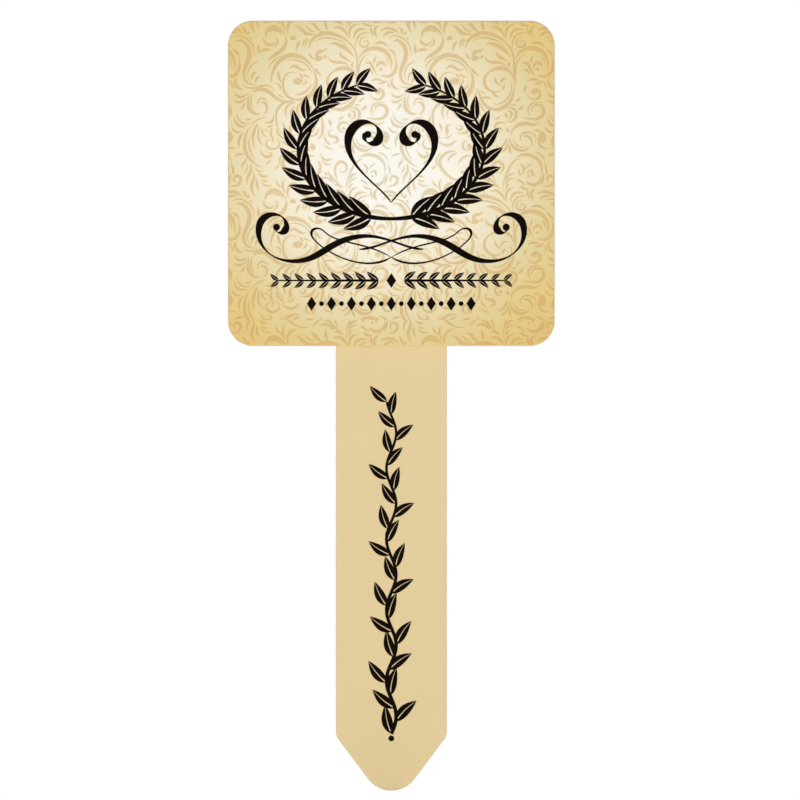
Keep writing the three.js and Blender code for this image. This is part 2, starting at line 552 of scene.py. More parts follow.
def region_mesh(name: str, region: Region, sheet_mm: float, layer: InkLayer) -> Mesh:
    """Turns a flat region into a thin closed solid that lies on a sheet's front.

    Args:
        name: the mesh's name.
        region: the flat region, in millimetres.
        sheet_mm: the depth of the sheet's front face.
        layer: the ink, which says how far the solid stands in front of the sheet.

    Returns:
        The closed mesh, in metres.
    """
    points, faces = region
    used, faces = np.unique(faces, return_inverse=True)
    faces = faces.reshape(-1, 3)
    points = points[used]
    count = len(points)
    edges = np.concatenate([faces[:, [0, 1]], faces[:, [1, 2]], faces[:, [2, 0]]])
    rim = edges[~np.isin(edges[:, 0] * count + edges[:, 1], edges[:, 1] * count + edges[:, 0])]
    walls = np.stack([rim[:, 0], rim[:, 0] + count, rim[:, 1] + count, rim[:, 1]], axis=1)
    front = np.stack([points[:, 0], np.full(count, sheet_mm - layer.value), points[:, 1]], axis=1)
    back = np.stack([points[:, 0], np.full(count, sheet_mm + SUNK_MM), points[:, 1]], axis=1)
    mesh = new_mesh(name, np.concatenate([front, back]) * MM,
                    faces.tolist() + (faces[:, ::-1] + count).tolist() + walls.tolist())
    mesh.validate()
    return mesh


def plate_mesh(name: str, outlines: list[tuple[Loop, Loop]], front_mm: float) -> Mesh:
    """Builds a flat plate with shaped edges and holes.

    Args:
        name: the mesh's name.
        outlines: for each closed outline its points, counter-clockwise for the rim and clockwise for a hole,
            and its edge profile as (inset into the material, depth behind the front) rows, front to back.
        front_mm: the depth of the plate's front face.

    Returns:
        The closed mesh, in metres, with its flat faces shaded flat and its edges smooth.
    """
    rows: list[np.ndarray] = []
    quads: list[tuple[int, ...]] = []
    caps: tuple[list[np.ndarray], list[np.ndarray]] = ([], [])
    total = 0
    for loop, profile in outlines:
        loop = loop[np.linalg.norm(loop - np.roll(loop, 1, axis=0), axis=1) > SAME_MM]
        count = len(loop)
        ahead = np.roll(loop, -1, axis=0) - loop
        ahead /= np.linalg.norm(ahead, axis=1)[:, None]
        mean = ahead + np.roll(ahead, 1, axis=0)
        mean /= (0.5 * (mean ** 2).sum(axis=1))[:, None]
        inward = np.stack([-mean[:, 1], mean[:, 0]], axis=1)
        here = np.arange(count)
        after = np.roll(here, -1)
        for number, (inset, depth) in enumerate(profile):
            ring = loop + inward * inset
            rows.append(np.stack([ring[:, 0], np.full(count, front_mm + depth), ring[:, 1]], axis=1))
            if number:
                near = total + (number - 1) * count
                far = near + count
                quads.extend(zip(near + here, far + here, far + after, near + after))
        caps[0].append(total + here)
        caps[1].append(total + (len(profile) - 1) * count + here)
        total += len(profile) * count
    points = np.concatenate(rows)
    faces = [tuple(int(i) for i in quad) for quad in quads]
    walls = len(faces)
    for side, loops in enumerate(caps):
        order = np.concatenate(loops)
        flat = [Vector((points[i][0], points[i][2])) for i in order]
        starts = np.cumsum([0] + [len(one) for one in loops])
        # A hole runs clockwise, so it is turned round to be a region of its own, which is then left out.
        regions = [list(range(a, b)) if not number else list(range(b - 1, a - 1, -1))
                   for number, (a, b) in enumerate(zip(starts, starts[1:]))]
        found = delaunay_2d_cdt(flat, [], regions, Fill.INSIDE.value, SAME_MM, True)
        place = [order[sources[0]] for sources in found[3]]
        for face, sources in zip(found[2], found[5]):
            if list(sources) == [0]:
                corners = [int(place[i]) for i in face]
                faces.append(tuple(corners if side == 0 else corners[::-1]))
    mesh = new_mesh(name, points * MM, faces)
    mesh.polygons.foreach_set("use_smooth", [index < walls for index in range(len(faces))])
    mesh.validate()
    return mesh


def rolled_edge(thickness: float, radius: float, steps: int = 4) -> np.ndarray:
    """An edge profile with both corners rounded.

    Args:
        thickness: the plate's thickness.
        radius: the rounding.
        steps: straight stretches in each rounding.

    Returns:
        (inset, depth) rows from front to back.
    """
    turn = np.linspace(0, math.pi / 2, steps + 1)
    front = np.stack([radius * (1 - np.sin(turn)), radius * (1 - np.cos(turn))], axis=1)
    back = np.stack([front[::-1, 0], thickness - front[::-1, 1]], axis=1)
    return np.concatenate([front, back])


def piece(name: str, mesh: Mesh, material: Material, slot: Slot, *nodes: str) -> None:
    """Puts a finished mesh into the scene as a piece of the stake.

    Args:
        name: the piece's name.
        mesh: its mesh, already in place.
        material: its finish.
        slot: the record's slot for that finish; not used.
        *nodes: the CAD nodes that it stands for.
    """
    mesh.materials.clear()
    mesh.materials.append(material)
    made = new_object(name, mesh)
    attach(made, BODY)
    if nodes:
        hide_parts(*nodes)
    log.info("%s: %d faces", name, len(mesh.polygons))


# Geometry Nodes


class NodeRig:
    """A Geometry Nodes tree with named inputs, run once to give a plain mesh."""

    def __init__(self, name: str, inputs: dict[str, str]) -> None:
        """Starts a tree.

        Args:
            name: the tree's name.
            inputs: kinds of socket by input name, after the geometry.
        """
        self.tree = bpy.data.node_groups.new(name, "GeometryNodeTree")
        face = self.tree.interface
        face.new_socket("Geometry", in_out="INPUT", socket_type="NodeSocketGeometry")
        for label, kind in inputs.items():
            face.new_socket(label, in_out="INPUT", socket_type=f"NodeSocket{kind}")
        face.new_socket("Geometry", in_out="OUTPUT", socket_type="NodeSocketGeometry")
        self.given = add_node(self.tree, "NodeGroupInput").outputs

    def add(self, kind: str, settings: dict | None = None, inputs: dict | None = None) -> Node:
        """Adds a node to the tree and returns it."""
        return add_node(self.tree, kind, settings, inputs)

    def close(self, geometry: NodeSocket) -> None:
        """Ends the tree in Realize Instances and Set Material.

        Args:
            geometry: what the tree has made so far.
        """
        real = self.add("GeometryNodeRealizeInstances", inputs={"Geometry": geometry})
        dressed = self.add("GeometryNodeSetMaterial", inputs={
            "Geometry": real.outputs["Geometry"], "Material": self.given["Material"]})
        self.add("NodeGroupOutput", inputs={"Geometry": dressed.outputs["Geometry"]})

    def run(self, data: ID, values: dict) -> Mesh:
        """Runs the tree on a mesh or curve.

        Args:
            data: the mesh or curve that the tree starts from.
            values: the inputs by name.

        Returns:
            The result as a plain mesh.
        """
        source = new_object(self.tree.name, data)
        modifier = source.modifiers.new(self.tree.name, "NODES")
        modifier.node_group = self.tree
        for item in self.tree.interface.items_tree:
            if item.in_out == "INPUT" and item.name in values:
                modifier[item.identifier] = values[item.name]
        graph = bpy.context.evaluated_depsgraph_get()
        mesh = bpy.data.meshes.new_from_object(source.evaluated_get(graph), depsgraph=graph)
        source.modifiers.remove(modifier)
        bpy.data.objects.remove(source)
        return mesh


def repeat_rig() -> NodeRig:
    """A tree that repeats a flat cell on a grid, as a printing roller does.

    Returns:
        The tree, to be run on the cell.
    """
    rig = NodeRig("repeat_cell", {
        "Columns": "Int", "Rows": "Int", "Pitch X": "Float", "Pitch Y": "Float", "Shift": "Vector",
        "Material": "Material"})
    spans = []
    for count, pitch in (("Columns", "Pitch X"), ("Rows", "Pitch Y")):
        gaps = rig.add("ShaderNodeMath", {"operation": "SUBTRACT"}, {0: rig.given[count], 1: 1.0})
        spans.append(rig.add("ShaderNodeMath", {"operation": "MULTIPLY"}, {
            0: gaps.outputs["Value"], 1: rig.given[pitch]}).outputs["Value"])
    grid = rig.add("GeometryNodeMeshGrid", inputs={
        "Size X": spans[0], "Size Y": spans[1],
        "Vertices X": rig.given["Columns"], "Vertices Y": rig.given["Rows"]})
    copies = rig.add("GeometryNodeInstanceOnPoints", inputs={
        "Points": grid.outputs["Mesh"], "Instance": rig.given["Geometry"]})
    moved = rig.add("GeometryNodeTranslateInstances", inputs={
        "Instances": copies.outputs["Instances"], "Translation": rig.given["Shift"], "Local Space": False})
    rig.close(moved.outputs["Instances"])
    return rig


def spray_rig() -> NodeRig:
    """A tree that sets leaves along a branch, in pairs or by turns left and right.

    Returns:
        The tree, to be run on the branch.
    """
    rig = NodeRig("leaf_spray", {
        "Leaf": "Object", "Spacing": "Float", "Spread": "Float", "Root Size": "Float", "Tip Size": "Float",
        "By Turns": "Float", "Material": "Material"})
    along = rig.add("GeometryNodeSplineParameter")
    marked = rig.add("GeometryNodeStoreNamedAttribute", {"data_type": "FLOAT", "domain": "POINT"}, {
        "Geometry": rig.given["Geometry"], "Name": "along", "Value": along.outputs["Factor"]})
    nodes = rig.add("GeometryNodeCurveToPoints", {"mode": "LENGTH"}, {
        "Curve": marked.outputs["Geometry"], "Length": rig.given["Spacing"]})
    heading = rig.add("ShaderNodeSeparateXYZ", inputs={0: nodes.outputs["Tangent"]})
    angle = rig.add("ShaderNodeMath", {"operation": "ARCTAN2"}, {
        0: heading.outputs["Y"], 1: heading.outputs["X"]})
    place = rig.add("GeometryNodeInputNamedAttribute", {"data_type": "FLOAT"}, {"Name": "along"})
    size = rig.add("ShaderNodeMapRange", inputs={
        "Value": place.outputs["Attribute"],
        "To Min": rig.given["Root Size"], "To Max": rig.given["Tip Size"]})
    scale = rig.add("ShaderNodeCombineXYZ", inputs={
        "X": size.outputs["Result"], "Y": size.outputs["Result"], "Z": 1.0})
    leaf = rig.add("GeometryNodeObjectInfo", inputs={"Object": rig.given["Leaf"]})
    parity = rig.add("ShaderNodeMath", {"operation": "MODULO"}, {
        0: rig.add("GeometryNodeInputIndex").outputs["Index"], 1: 2.0})
    both = rig.add("GeometryNodeJoinGeometry")
    for number, side in enumerate((1.0, -1.0)):
        lean = rig.add("ShaderNodeMath", {"operation": "MULTIPLY_ADD"}, {
            0: rig.given["Spread"], 1: side, 2: angle.outputs["Value"]})
        euler = rig.add("ShaderNodeCombineXYZ", inputs={"Z": lean.outputs["Value"]})
        turn = rig.add("FunctionNodeEulerToRotation", inputs={"Euler": euler.outputs["Vector"]})
        other = rig.add("ShaderNodeMath", {"operation": "COMPARE"}, {
            0: parity.outputs["Value"], 1: float(1 - number), 2: 0.5})
        skipped = rig.add("ShaderNodeMath", {"operation": "MULTIPLY"}, {
            0: other.outputs["Value"], 1: rig.given["By Turns"]})
        kept = rig.add("ShaderNodeMath", {"operation": "SUBTRACT"}, {0: 1.0, 1: skipped.outputs["Value"]})
        leaves = rig.add("GeometryNodeInstanceOnPoints", inputs={
            "Points": nodes.outputs["Points"], "Selection": kept.outputs["Value"],
            "Instance": leaf.outputs["Geometry"], "Rotation": turn.outputs["Rotation"],
            "Scale": scale.outputs["Vector"]})
        rig.tree.links.new(leaves.outputs["Instances"], both.inputs["Geometry"])
    rig.close(both.outputs["Geometry"])
    return rig


def rivet_rig() -> NodeRig:
    """A tree that sets rivets at the corners of a rectangle.

    Returns:
        The tree, to be run on one rivet.
    """
    rig = NodeRig("rivet_pattern", {
        "Pitch X": "Float", "Pitch Z": "Float", "Middle": "Vector", "Material": "Material"})
    grid = rig.add("GeometryNodeMeshGrid", inputs={
        "Size X": rig.given["Pitch X"], "Size Y": rig.given["Pitch Z"], "Vertices X": 2, "Vertices Y": 2})
    upright = rig.add("GeometryNodeTransform", inputs={
        "Geometry": grid.outputs["Mesh"], "Translation": rig.given["Middle"],
        "Rotation": (math.pi / 2, 0.0, 0.0)})
    copies = rig.add("GeometryNodeInstanceOnPoints", inputs={
        "Points": upright.outputs["Geometry"], "Instance": rig.given["Geometry"]})
    rig.close(copies.outputs["Instances"])
    return rig


# Pen strokes


def crossed(vectors: np.ndarray) -> np.ndarray:
    """Vectors turned a quarter counter-clockwise."""
    return np.stack([-vectors[..., 1], vectors[..., 0]], axis=-1)


def headings(points: np.ndarray) -> np.ndarray:
    """The unit heading at each point of a line."""
    along = np.gradient(points, axis=0)
    return along / (np.linalg.norm(along, axis=1)[:, None] + TINY)


@dataclass(frozen=True)
class Stroke:
    """One pen stroke: the points of its centre line and its half widths there."""

    points: np.ndarray
    half: np.ndarray

    def sides(self, shift: Pair = (0.0, 0.0)) -> tuple[Loop, Loop]:
        """The stroke's left and right edge, moved by a shift.

        Args:
            shift: how far the stroke is moved along x and z.

        Returns:
            The two edges, point by point.
        """
        across = crossed(headings(self.points)) * self.half[:, None]
        return self.points + across + shift, self.points - across + shift

    def grown(self, amount: float) -> "Stroke":
        """The same stroke with wider or narrower sides and pointed ends.

        Args:
            amount: how much wider each side gets; less than 0 makes it narrower.

        Returns:
            The new stroke.
        """
        half = self.half + amount
        if amount > 0:
            reach = amount * headings(self.points)
            points = np.concatenate([
                self.points[:1] - reach[:1], self.points, self.points[-1:] + reach[-1:]])
            return Stroke(points, np.concatenate([[WIDENED_END_MM], half, [WIDENED_END_MM]]))
        kept = np.nonzero(half > LEAST_HALF_MM)[0]
        return Stroke(self.points[kept[0]:kept[-1] + 1], half[kept[0]:kept[-1] + 1])

    def mirrored(self) -> "Stroke":
        """The same stroke on the other side of the head's middle line."""
        return Stroke(self.points * (-1, 1), self.half)


def smooth_line(knots: tuple[Pair, ...], step: float = 0.5, least: int = 10,
                samples: int = 12) -> Loop:
    """A smooth line through knots, with even points.

    Args:
        knots: the points that the line passes.
        step: how far apart its own points are.
        least: how many points it has at least.
        samples: how many points are first laid between two knots.

    Returns:
        The line's points.
    """
    passed = np.array(knots)
    beyond = np.concatenate([[2 * passed[0] - passed[1]], passed, [2 * passed[-1] - passed[-2]]])
    t = np.linspace(0, 1, samples, endpoint=False)[:, None]
    parts = [b + 0.5 * t * (c - a + t * (2 * a - 5 * b + 4 * c - d + t * (3 * (b - c) + d - a)))
             for a, b, c, d in zip(beyond, beyond[1:], beyond[2:], beyond[3:])]
    dense = np.concatenate(parts + [passed[-1:]])
    run = np.concatenate([[0], np.cumsum(np.linalg.norm(np.diff(dense, axis=0), axis=1))])
    even = np.linspace(0, run[-1], max(least, int(run[-1] / step)))
    return np.stack([np.interp(even, run, dense[:, axis]) for axis in (0, 1)], axis=1)


# The scrollwork is drawn on a cell that repeats. Each pen line is its greatest width, where along
# it that width lies and the knots that it runs through, from the cell's lower left corner. A line may leave
# the cell, and then goes on in the next one.

# The winding stem at the left and the leaves along it
LEFT_STEM: Motif = (
    (1.3, 0.38, (2.6, 44.1), (4, 44.35), (5.3, 43.5), (6.3, 42.1), (6.7, 40.4), (6.5, 38.8), (5.9, 37.1),
     (5.2, 35.4), (4.95, 33.8), (5.2, 32.3), (6, 31.2), (7.3, 30.6), (9, 30.35)),
    (0.5, 0.4, (1.2, 45.3), (3, 45.75), (5, 45.3), (6.7, 44.1), (7.7, 42.5), (8.1, 40.8), (8.1, 39.2)),
    (0.4, 0.4, (9.7, 38.1), (8.2, 37.3), (7, 36.2), (6.3, 34.8), (6.15, 33.3), (6.6, 32), (7.4, 31.2)),
    (0.7, 0.45, (8.8, 34.4), (7.9, 33.9), (7.5, 33), (7.4, 31.9)),
    (0.7, 0.45, (9.9, 32.9), (9.1, 32.6), (8.7, 31.9), (8.4, 31.2)),
    (0.55, 0.5, (4.6, 30.3), (6.3, 29.6), (8.3, 29.5), (10.2, 30), (12, 30.3), (13.4, 29.7),
     (14.4, 28.8)),
    (1.15, 0.4, (7.7, 28.2), (9.2, 29), (10.8, 29.1), (12.4, 28.5), (13.8, 27.4), (15, 26.3),
     (16.4, 25.6), (18, 25.4), (20, 25.5)),
    (0.6, 0.45, (15.6, 27.6), (16.3, 27), (17.4, 26.6)),
    (0.8, 0.5, (2.9, 32.7), (2.2, 31.9), (2.2, 30.9), (2.9, 29.8), (3.9, 29.2), (4.7, 29.1)),
    (0.5, 0.45, (1.1, 31.3), (1.3, 30.3), (1.8, 29.5)))
# The leaves above that stem
CREST_LEAVES: Motif = (
    (0.9, 0.5, (-1.2, 47.3), (0, 47.9), (1.5, 48), (3.2, 47.5), (4.6, 46.4)),
    (0.8, 0.5, (-0.4, 45.3), (0, 46), (0.8, 46.6), (1.9, 46.85), (3.1, 46.6)),
    (0.8, 0.6, (4.2, 48.4), (5, 47.9), (5.4, 47), (5.4, 46.2)),
    (0.8, 0.5, (6, 46), (6.3, 46.5), (6.6, 47)),
    (0.6, 0.5, (6.8, 45.3), (7.1, 45), (7.4, 44.6)),
    (1, 0.5, (7.9, 54.2), (8.1, 52.8), (7.8, 51.3), (7.35, 49.8), (7.5, 48.4), (8.3, 46.6)),
    (0.7, 0.5, (8.8, 52.2), (9, 51), (9.1, 49.8), (9.6, 48.2)),
    (0.5, 0.5, (10.2, 50.9), (11.2, 50.2), (12.3, 49.8), (13.6, 49.95)),
    (0.5, 0.5, (10.2, 51.8), (11.2, 51.3), (12.4, 51.25)))
# The volute between the stem and the arch
UPPER_VOLUTE: Motif = (
    (1.25, 0.5, (12.3, 37.5), (13.3, 38.9), (15, 40), (16.5, 41.1), (17.6, 42.4), (18.15, 44),
     (18, 45.7)),
    (1.2, 0.5, (18.1, 46), (16.9, 47.1), (15.4, 48.2), (13.9, 48.4), (12.6, 47.7), (11.8, 46.6),
     (11.6, 45.2)),
    (0.5, 0.5, (12.2, 46.7), (13.3, 47.35), (14.6, 47.45), (16, 46.9), (17.1, 46)),
    (0.8, 0.4, (10.9, 44.9), (11.4, 43.8), (12.3, 43.05), (13.3, 42.9), (14.2, 43.4), (14.7, 44.2)),
    (0.5, 0.45, (14.6, 45.2), (15.3, 44.6), (15.4, 43.7), (14.8, 42.7), (13.7, 42.1)),
    (0.9, 0.6, (9.2, 43.3), (9.5, 42.3), (9.5, 41.2), (9.7, 40.1)),
    (0.9, 0.5, (9.8, 40.6), (11, 41.3), (12.2, 41.5), (13.5, 41.3)),
    (0.55, 0.5, (15.05, 51.7), (15.2, 50.8), (15.9, 49.9), (16.9, 49.2)),
    (0.6, 0.5, (17.8, 52), (17.15, 51.1), (17.05, 49.9), (17.35, 48.5), (17.9, 47.2)),
    (0.9, 0.4, (21.2, 50.75), (19.6, 50.2), (18.7, 48.8), (18.5, 47.4), (18.8, 46.1)))
# The great ring and its bud
GREAT_RING: Motif = (
    (1.35, 0.5, (13.4, 31.1), (13.6, 33.2), (14.5, 35.8), (16.2, 38.1), (18.6, 39.5), (21, 39.6),
     (23.2, 38.9), (25.2, 37.3), (26.6, 35.2)),
    (1.4, 0.55, (26.4, 35.6), (27.2, 33.6), (27.5, 31.4), (27, 29.3), (25.7, 27.3), (23.8, 26.1),
     (21.6, 25.8), (19.4, 26.4)),
    (0.85, 0.3, (22, 25.9), (20, 26), (18.4, 27.1), (17.4, 28.8), (17.15, 30.7), (17.4, 32.5),
     (18.4, 33.9), (19.8, 34.4), (21.3, 34.2)),
    (0.8, 0.5, (20.8, 27.4), (22.6, 27.6), (24.2, 28.4), (25.4, 29.6), (26.2, 30.9)),
    (0.45, 0.5, (18.3, 37.9), (20, 38.3), (22, 38), (24, 37), (25.3, 35.6), (26.2, 33.9)),
    (0.5, 0.5, (12.8, 35.4), (13.2, 36.8), (14.2, 38), (15.4, 38.9), (16.9, 39.6)),
    (0.85, 0.45, (19.1, 35.5), (20.4, 36.4), (21.7, 35.9), (23, 35.1), (24.4, 35.3)),
    (0.75, 0.4, (15.6, 34.9), (15.7, 33.6), (16.1, 32.4), (16.7, 31)),
    (0.55, 0.5, (14.8, 31), (15.9, 30.6), (16.3, 29.7), (16.5, 28.5)),
    (2.1, 0.5, (20.2, 31.6), (21.7, 31.6), (23.3, 31.9)),
    (0.5, 0.5, (24.2, 32.4), (24.4, 31.5), (23.8, 30.7), (23, 30.4)),
    (0.6, 0.6, (22, 34.1), (22.7, 33.4), (23.4, 32.5)),
    (0.5, 0.45, (23.2, 33.8), (24.4, 33.2), (25.7, 32.8)),
    (0.75, 0.4, (26.9, 35.7), (27.8, 34.6), (28.4, 33.9), (29.2, 33.2)))
# The arch, its bud and its leaves
ARCH: Motif = (
    (1.2, 0.42, (25.1, 42.1), (25.6, 43.6), (26.7, 45), (28.3, 46), (30.2, 46.6), (32.2, 46.4),
     (34.2, 45.8), (36, 44.9), (37.5, 43.8), (38.7, 42.5)),
    (0.5, 0.4, (36.3, 44.7), (38, 43.3), (39.3, 41.6), (40, 39.6), (40.25, 37.6), (40.15, 35.6),
     (40.2, 33.6), (40.35, 31.5), (40.3, 29.5)),
    (0.5, 0.5, (27, 43.9), (28.5, 44.8), (30.3, 45.15), (32.3, 45), (34.2, 44.5), (35.8, 43.8),
     (37.1, 42.7)),
    (1.25, 0.45, (31.7, 43.4), (33.5, 43.3), (35.2, 42.6), (36.9, 41.6), (38, 40.6), (39.2, 39.2)),
    (0.85, 0.45, (35, 40.8), (34.9, 40), (35.6, 39.2), (36.8, 38.5), (38.2, 37.7)),
    (0.85, 0.5, (31.2, 39.3), (31.9, 38.1), (33.3, 37.5), (34.9, 37.5), (36.4, 37.2), (37.7, 36.3)),
    (1.1, 0.62, (30.8, 41.8), (29.6, 41), (28.4, 40.8), (27.6, 40), (27.5, 38.9)),
    (1.6, 0.4, (27, 38.8), (28, 38.7), (29.5, 38.9)),
    (0.55, 0.5, (25.1, 40.4), (25.8, 39.3), (27, 38.2)),
    (0.7, 0.5, (29.9, 38.7), (30.2, 39.2), (30.5, 39.7)),
    (0.7, 0.5, (38.9, 37.7), (38.6, 36.7), (38.8, 35.7)),
    (1.2, 0.5, (19.4, 44.6), (20.2, 45.1), (21.1, 44.6)),
    (0.75, 0.45, (22.7, 44), (21.9, 43.3), (21.5, 42.4), (21.1, 41.1)),
    (0.5, 0.5, (24.9, 44.9), (24, 44.4), (23.5, 43.4), (23.4, 42.3)),
    (0.45, 0.5, (25.4, 44.7), (24.6, 44), (24.2, 43.1), (24.1, 42.2)),
    (1.05, 0.5, (20.9, 48.9), (22.2, 48.4), (23.2, 47.4), (24.3, 46.5), (25.9, 46.2), (27.3, 46.3)),
    (0.5, 0.5, (23.9, 49.1), (24.8, 48.1), (25.9, 47.3), (27.2, 46.9)),
    (0.9, 0.4, (25.8, 49.65), (26.9, 49.1), (27.8, 47.9), (29.3, 46.9)),
    (0.75, 0.5, (30.15, 50.9), (30.35, 49.9), (30.5, 48.6), (31, 47.4)))
# The plume where the arch meets the trunk
PLUME: Motif = (
    (0.85, 0.4, (32.9, 48.2), (34.6, 48.4), (35.9, 47.6), (36.8, 46.5), (37.6, 45.1)),
    (0.6, 0.5, (32.8, 50.05), (34, 50.1), (35, 49.7), (35.8, 49.1)),
    (0.6, 0.35, (42.1, 58.3), (40.6, 57.7), (39.4, 56.5), (38.6, 55.1), (37.9, 53.5), (37.3, 51.7),
     (36.9, 50), (36.9, 48.1)),
    (0.5, 0.5, (40.4, 52.3), (38.9, 51.9), (37.9, 50.9), (37.4, 49.6)),
    (0.5, 0.5, (38.8, 50.6), (38, 49.7), (37.5, 48.7)),
    (0.7, 0.5, (40.4, 49.4), (38.9, 48.9), (38, 47.8), (37.7, 46.4), (37.8, 44.9)),
    (0.85, 0.5, (43.2, 47.7), (41.5, 47.8), (40.2, 47.3), (39.4, 46.2), (39.1, 44.7)),
    (0.5, 0.5, (44.2, 46.8), (42.3, 46.6), (41, 46), (40.2, 44.9), (39.8, 43.5), (39.7, 41.8)),
    (0.55, 0.5, (43, 45.4), (41.7, 45), (41, 44), (41.2, 42.8), (42.2, 42.2), (43.3, 42.5), (43.7, 43.4),
     (43.2, 44.1), (42.4, 44.1), (42.1, 43.5), (42.5, 43.1)),
    (0.6, 0.4, (41, 51.7), (42.2, 51.3), (43.1, 50.5), (43.9, 49.9)),
    (0.65, 0.4, (42, 49.85), (42.9, 49.2), (43.9, 48.85), (45, 48.85)),
    (0.9, 0.5, (46.9, 48.95), (46.1, 48.5), (45.6, 47.6), (45.6, 46.6), (46.3, 45.3)),
    (0.6, 0.5, (44.4, 48.9), (44.45, 47.8), (44.7, 46.6), (45.1, 45.6)),
    (0.7, 0.45, (45.3, 43.1), (46.6, 43.6), (47.9, 43.6), (49, 43), (50, 42.2)))
# The ring at the right and its sprig
RIGHT_RING: Motif = (
    (1.3, 0.5, (40.6, 38.5), (41.8, 40.4), (43.3, 41.4), (45.2, 41.9), (47, 41.7), (48.7, 41),
     (49.9, 39.8), (50.6, 38.3), (50.9, 36.8), (50.7, 35.2)),
    (0.5, 0.5, (40.6, 30), (40.7, 32.5), (40.6, 34.8), (41, 37), (42.2, 39.1), (43.7, 40.4)),
    (0.6, 0.45, (50, 41.6), (50.9, 41.1), (51.7, 40.2), (52.4, 39.1)),
    (1, 0.55, (51.9, 39), (52.3, 37.5), (52.3, 36), (51.8, 34.5), (50.7, 33.4), (49.2, 33.1),
     (47.4, 33.4)),
    (0.4, 0.5, (48.9, 39.4), (49.6, 38.2), (50, 36.6)),
    (0.6, 0.5, (46, 39.4), (45.6, 38.2), (45.3, 37)),
    (0.75, 0.4, (42.8, 37.1), (44, 37.4), (44.8, 36.6), (45.2, 35.5), (45.8, 34.4), (46.5, 33.5)),
    (0.6, 0.5, (42.7, 35), (43.9, 35.2), (44.6, 34.6), (45.1, 33.7)),
    (1, 0.5, (46.2, 35.7), (46.6, 36.9), (47.5, 37.4), (48.5, 37.1), (49.1, 36.1)),
    (0.7, 0.5, (46.8, 35.2), (47.5, 35.3), (48.1, 35.3)),
    (0.7, 0.45, (44.6, 31.6), (45.7, 32.2), (46.9, 32.1), (48.3, 31.7)),
    (0.8, 0.5, (46.6, 30.9), (47.9, 31.1), (48.9, 31.4), (49.7, 31.8)),
    (0.85, 0.6, (44.3, 27.5), (45.1, 26.4), (46.4, 25.9), (47.6, 26.3), (48.3, 27.3), (48.2, 28.4),
     (47.4, 29.2), (46.3, 29.1)),
    (1.5, 0.5, (45.6, 28.5), (46.6, 28.4), (47.6, 28.3)),
    (0.6, 0.5, (44.2, 30.3), (43.6, 29.4), (43.5, 28.3)))
# The volute between the great ring and the trunk
MIDDLE_VOLUTE: Motif = (
    (1.25, 0.55, (40, 32.2), (39.4, 34), (38, 35.2), (36, 35.7), (34, 35.3), (32.3, 34.3)),
    (0.85, 0.45, (33.2, 35), (31.8, 33.8), (31, 32), (31.2, 30.4), (32.2, 29.1), (33.6, 28.3),
     (35, 28.3), (36.3, 28.9)),
    (0.7, 0.4, (33, 28.5), (34.2, 27.4), (35.8, 26.3)),
    (0.5, 0.5, (39.3, 31.6), (39.5, 30), (39.2, 28.2), (38.4, 26.5), (37, 25.2), (35.2, 24.5),
     (33.2, 24.6)),
    (1.3, 0.6, (40.3, 30.4), (40.1, 28.2), (39.4, 26), (38.1, 24.3), (36.2, 23.1), (34.2, 22.8),
     (32.2, 23.3)),
    (1.1, 0.35, (34.5, 22.9), (32.5, 23.2), (31, 24.5), (30.1, 26), (29.5, 27.5), (29, 28.6),
     (28.4, 29.4)),
    (0.85, 0.5, (28.4, 28.4), (28.1, 26.6), (28.2, 25), (28.5, 23.5), (29.2, 22), (30.2, 20.8)),
    (0.5, 0.5, (29.1, 26.6), (29.4, 25), (30, 23.7), (30.8, 22.7), (32, 21.7)),
    (0.6, 0.45, (34.2, 32.9), (34.6, 31.6), (35.4, 30.7), (36.2, 30.2)),
    (0.6, 0.5, (38.2, 32.5), (37, 32.4), (36.3, 31.6), (36.1, 30.6)),
    (0.6, 0.5, (37.3, 30.6), (37, 29.6), (36.4, 28.9)),
    (0.5, 0.5, (29.7, 28.5), (30.6, 28.1), (31.5, 27.9)),
    (0.65, 0.5, (29.8, 27), (31, 26.5), (32.1, 26.6), (33.4, 26)),
    (0.55, 0.5, (42.4, 26.5), (41.5, 25.8), (40.7, 25.1)),
    (0.5, 0.5, (41.1, 24.5), (40.2, 24.2), (39.2, 24.2)))
# The small volute at the left and its leaves
LEFT_VOLUTE: Motif = (
    (1.15, 0.55, (6.6, 27.5), (6.3, 26), (6.3, 24.6), (6.6, 23.2), (7.4, 22.1), (8.6, 21.5), (10, 21.6)),
    (0.45, 0.5, (7.6, 27.8), (7.2, 26), (7.3, 24.3), (7.9, 22.9)),
    (0.5, 0.5, (9.3, 24.1), (9.3, 25.3), (10.2, 26.2), (11.3, 26.1), (12.5, 25.2)),
    (0.8, 0.4, (10.2, 25), (11.4, 24.9), (12.1, 23.9), (12.1, 22.8), (11.6, 21.8), (10.8, 21.1)),
    (0.7, 0.4, (2.1, 28.1), (2.6, 27.2), (3.8, 26.7), (5, 26.9), (6.5, 27.8)),
    (0.65, 0.4, (2.1, 25.7), (2.9, 25.1), (4.2, 25.3), (5.2, 25.9), (6.1, 26.7)),
    (0.55, 0.5, (5.3, 25.1), (4.9, 24.1), (4.4, 23.3), (3.7, 22.9)))
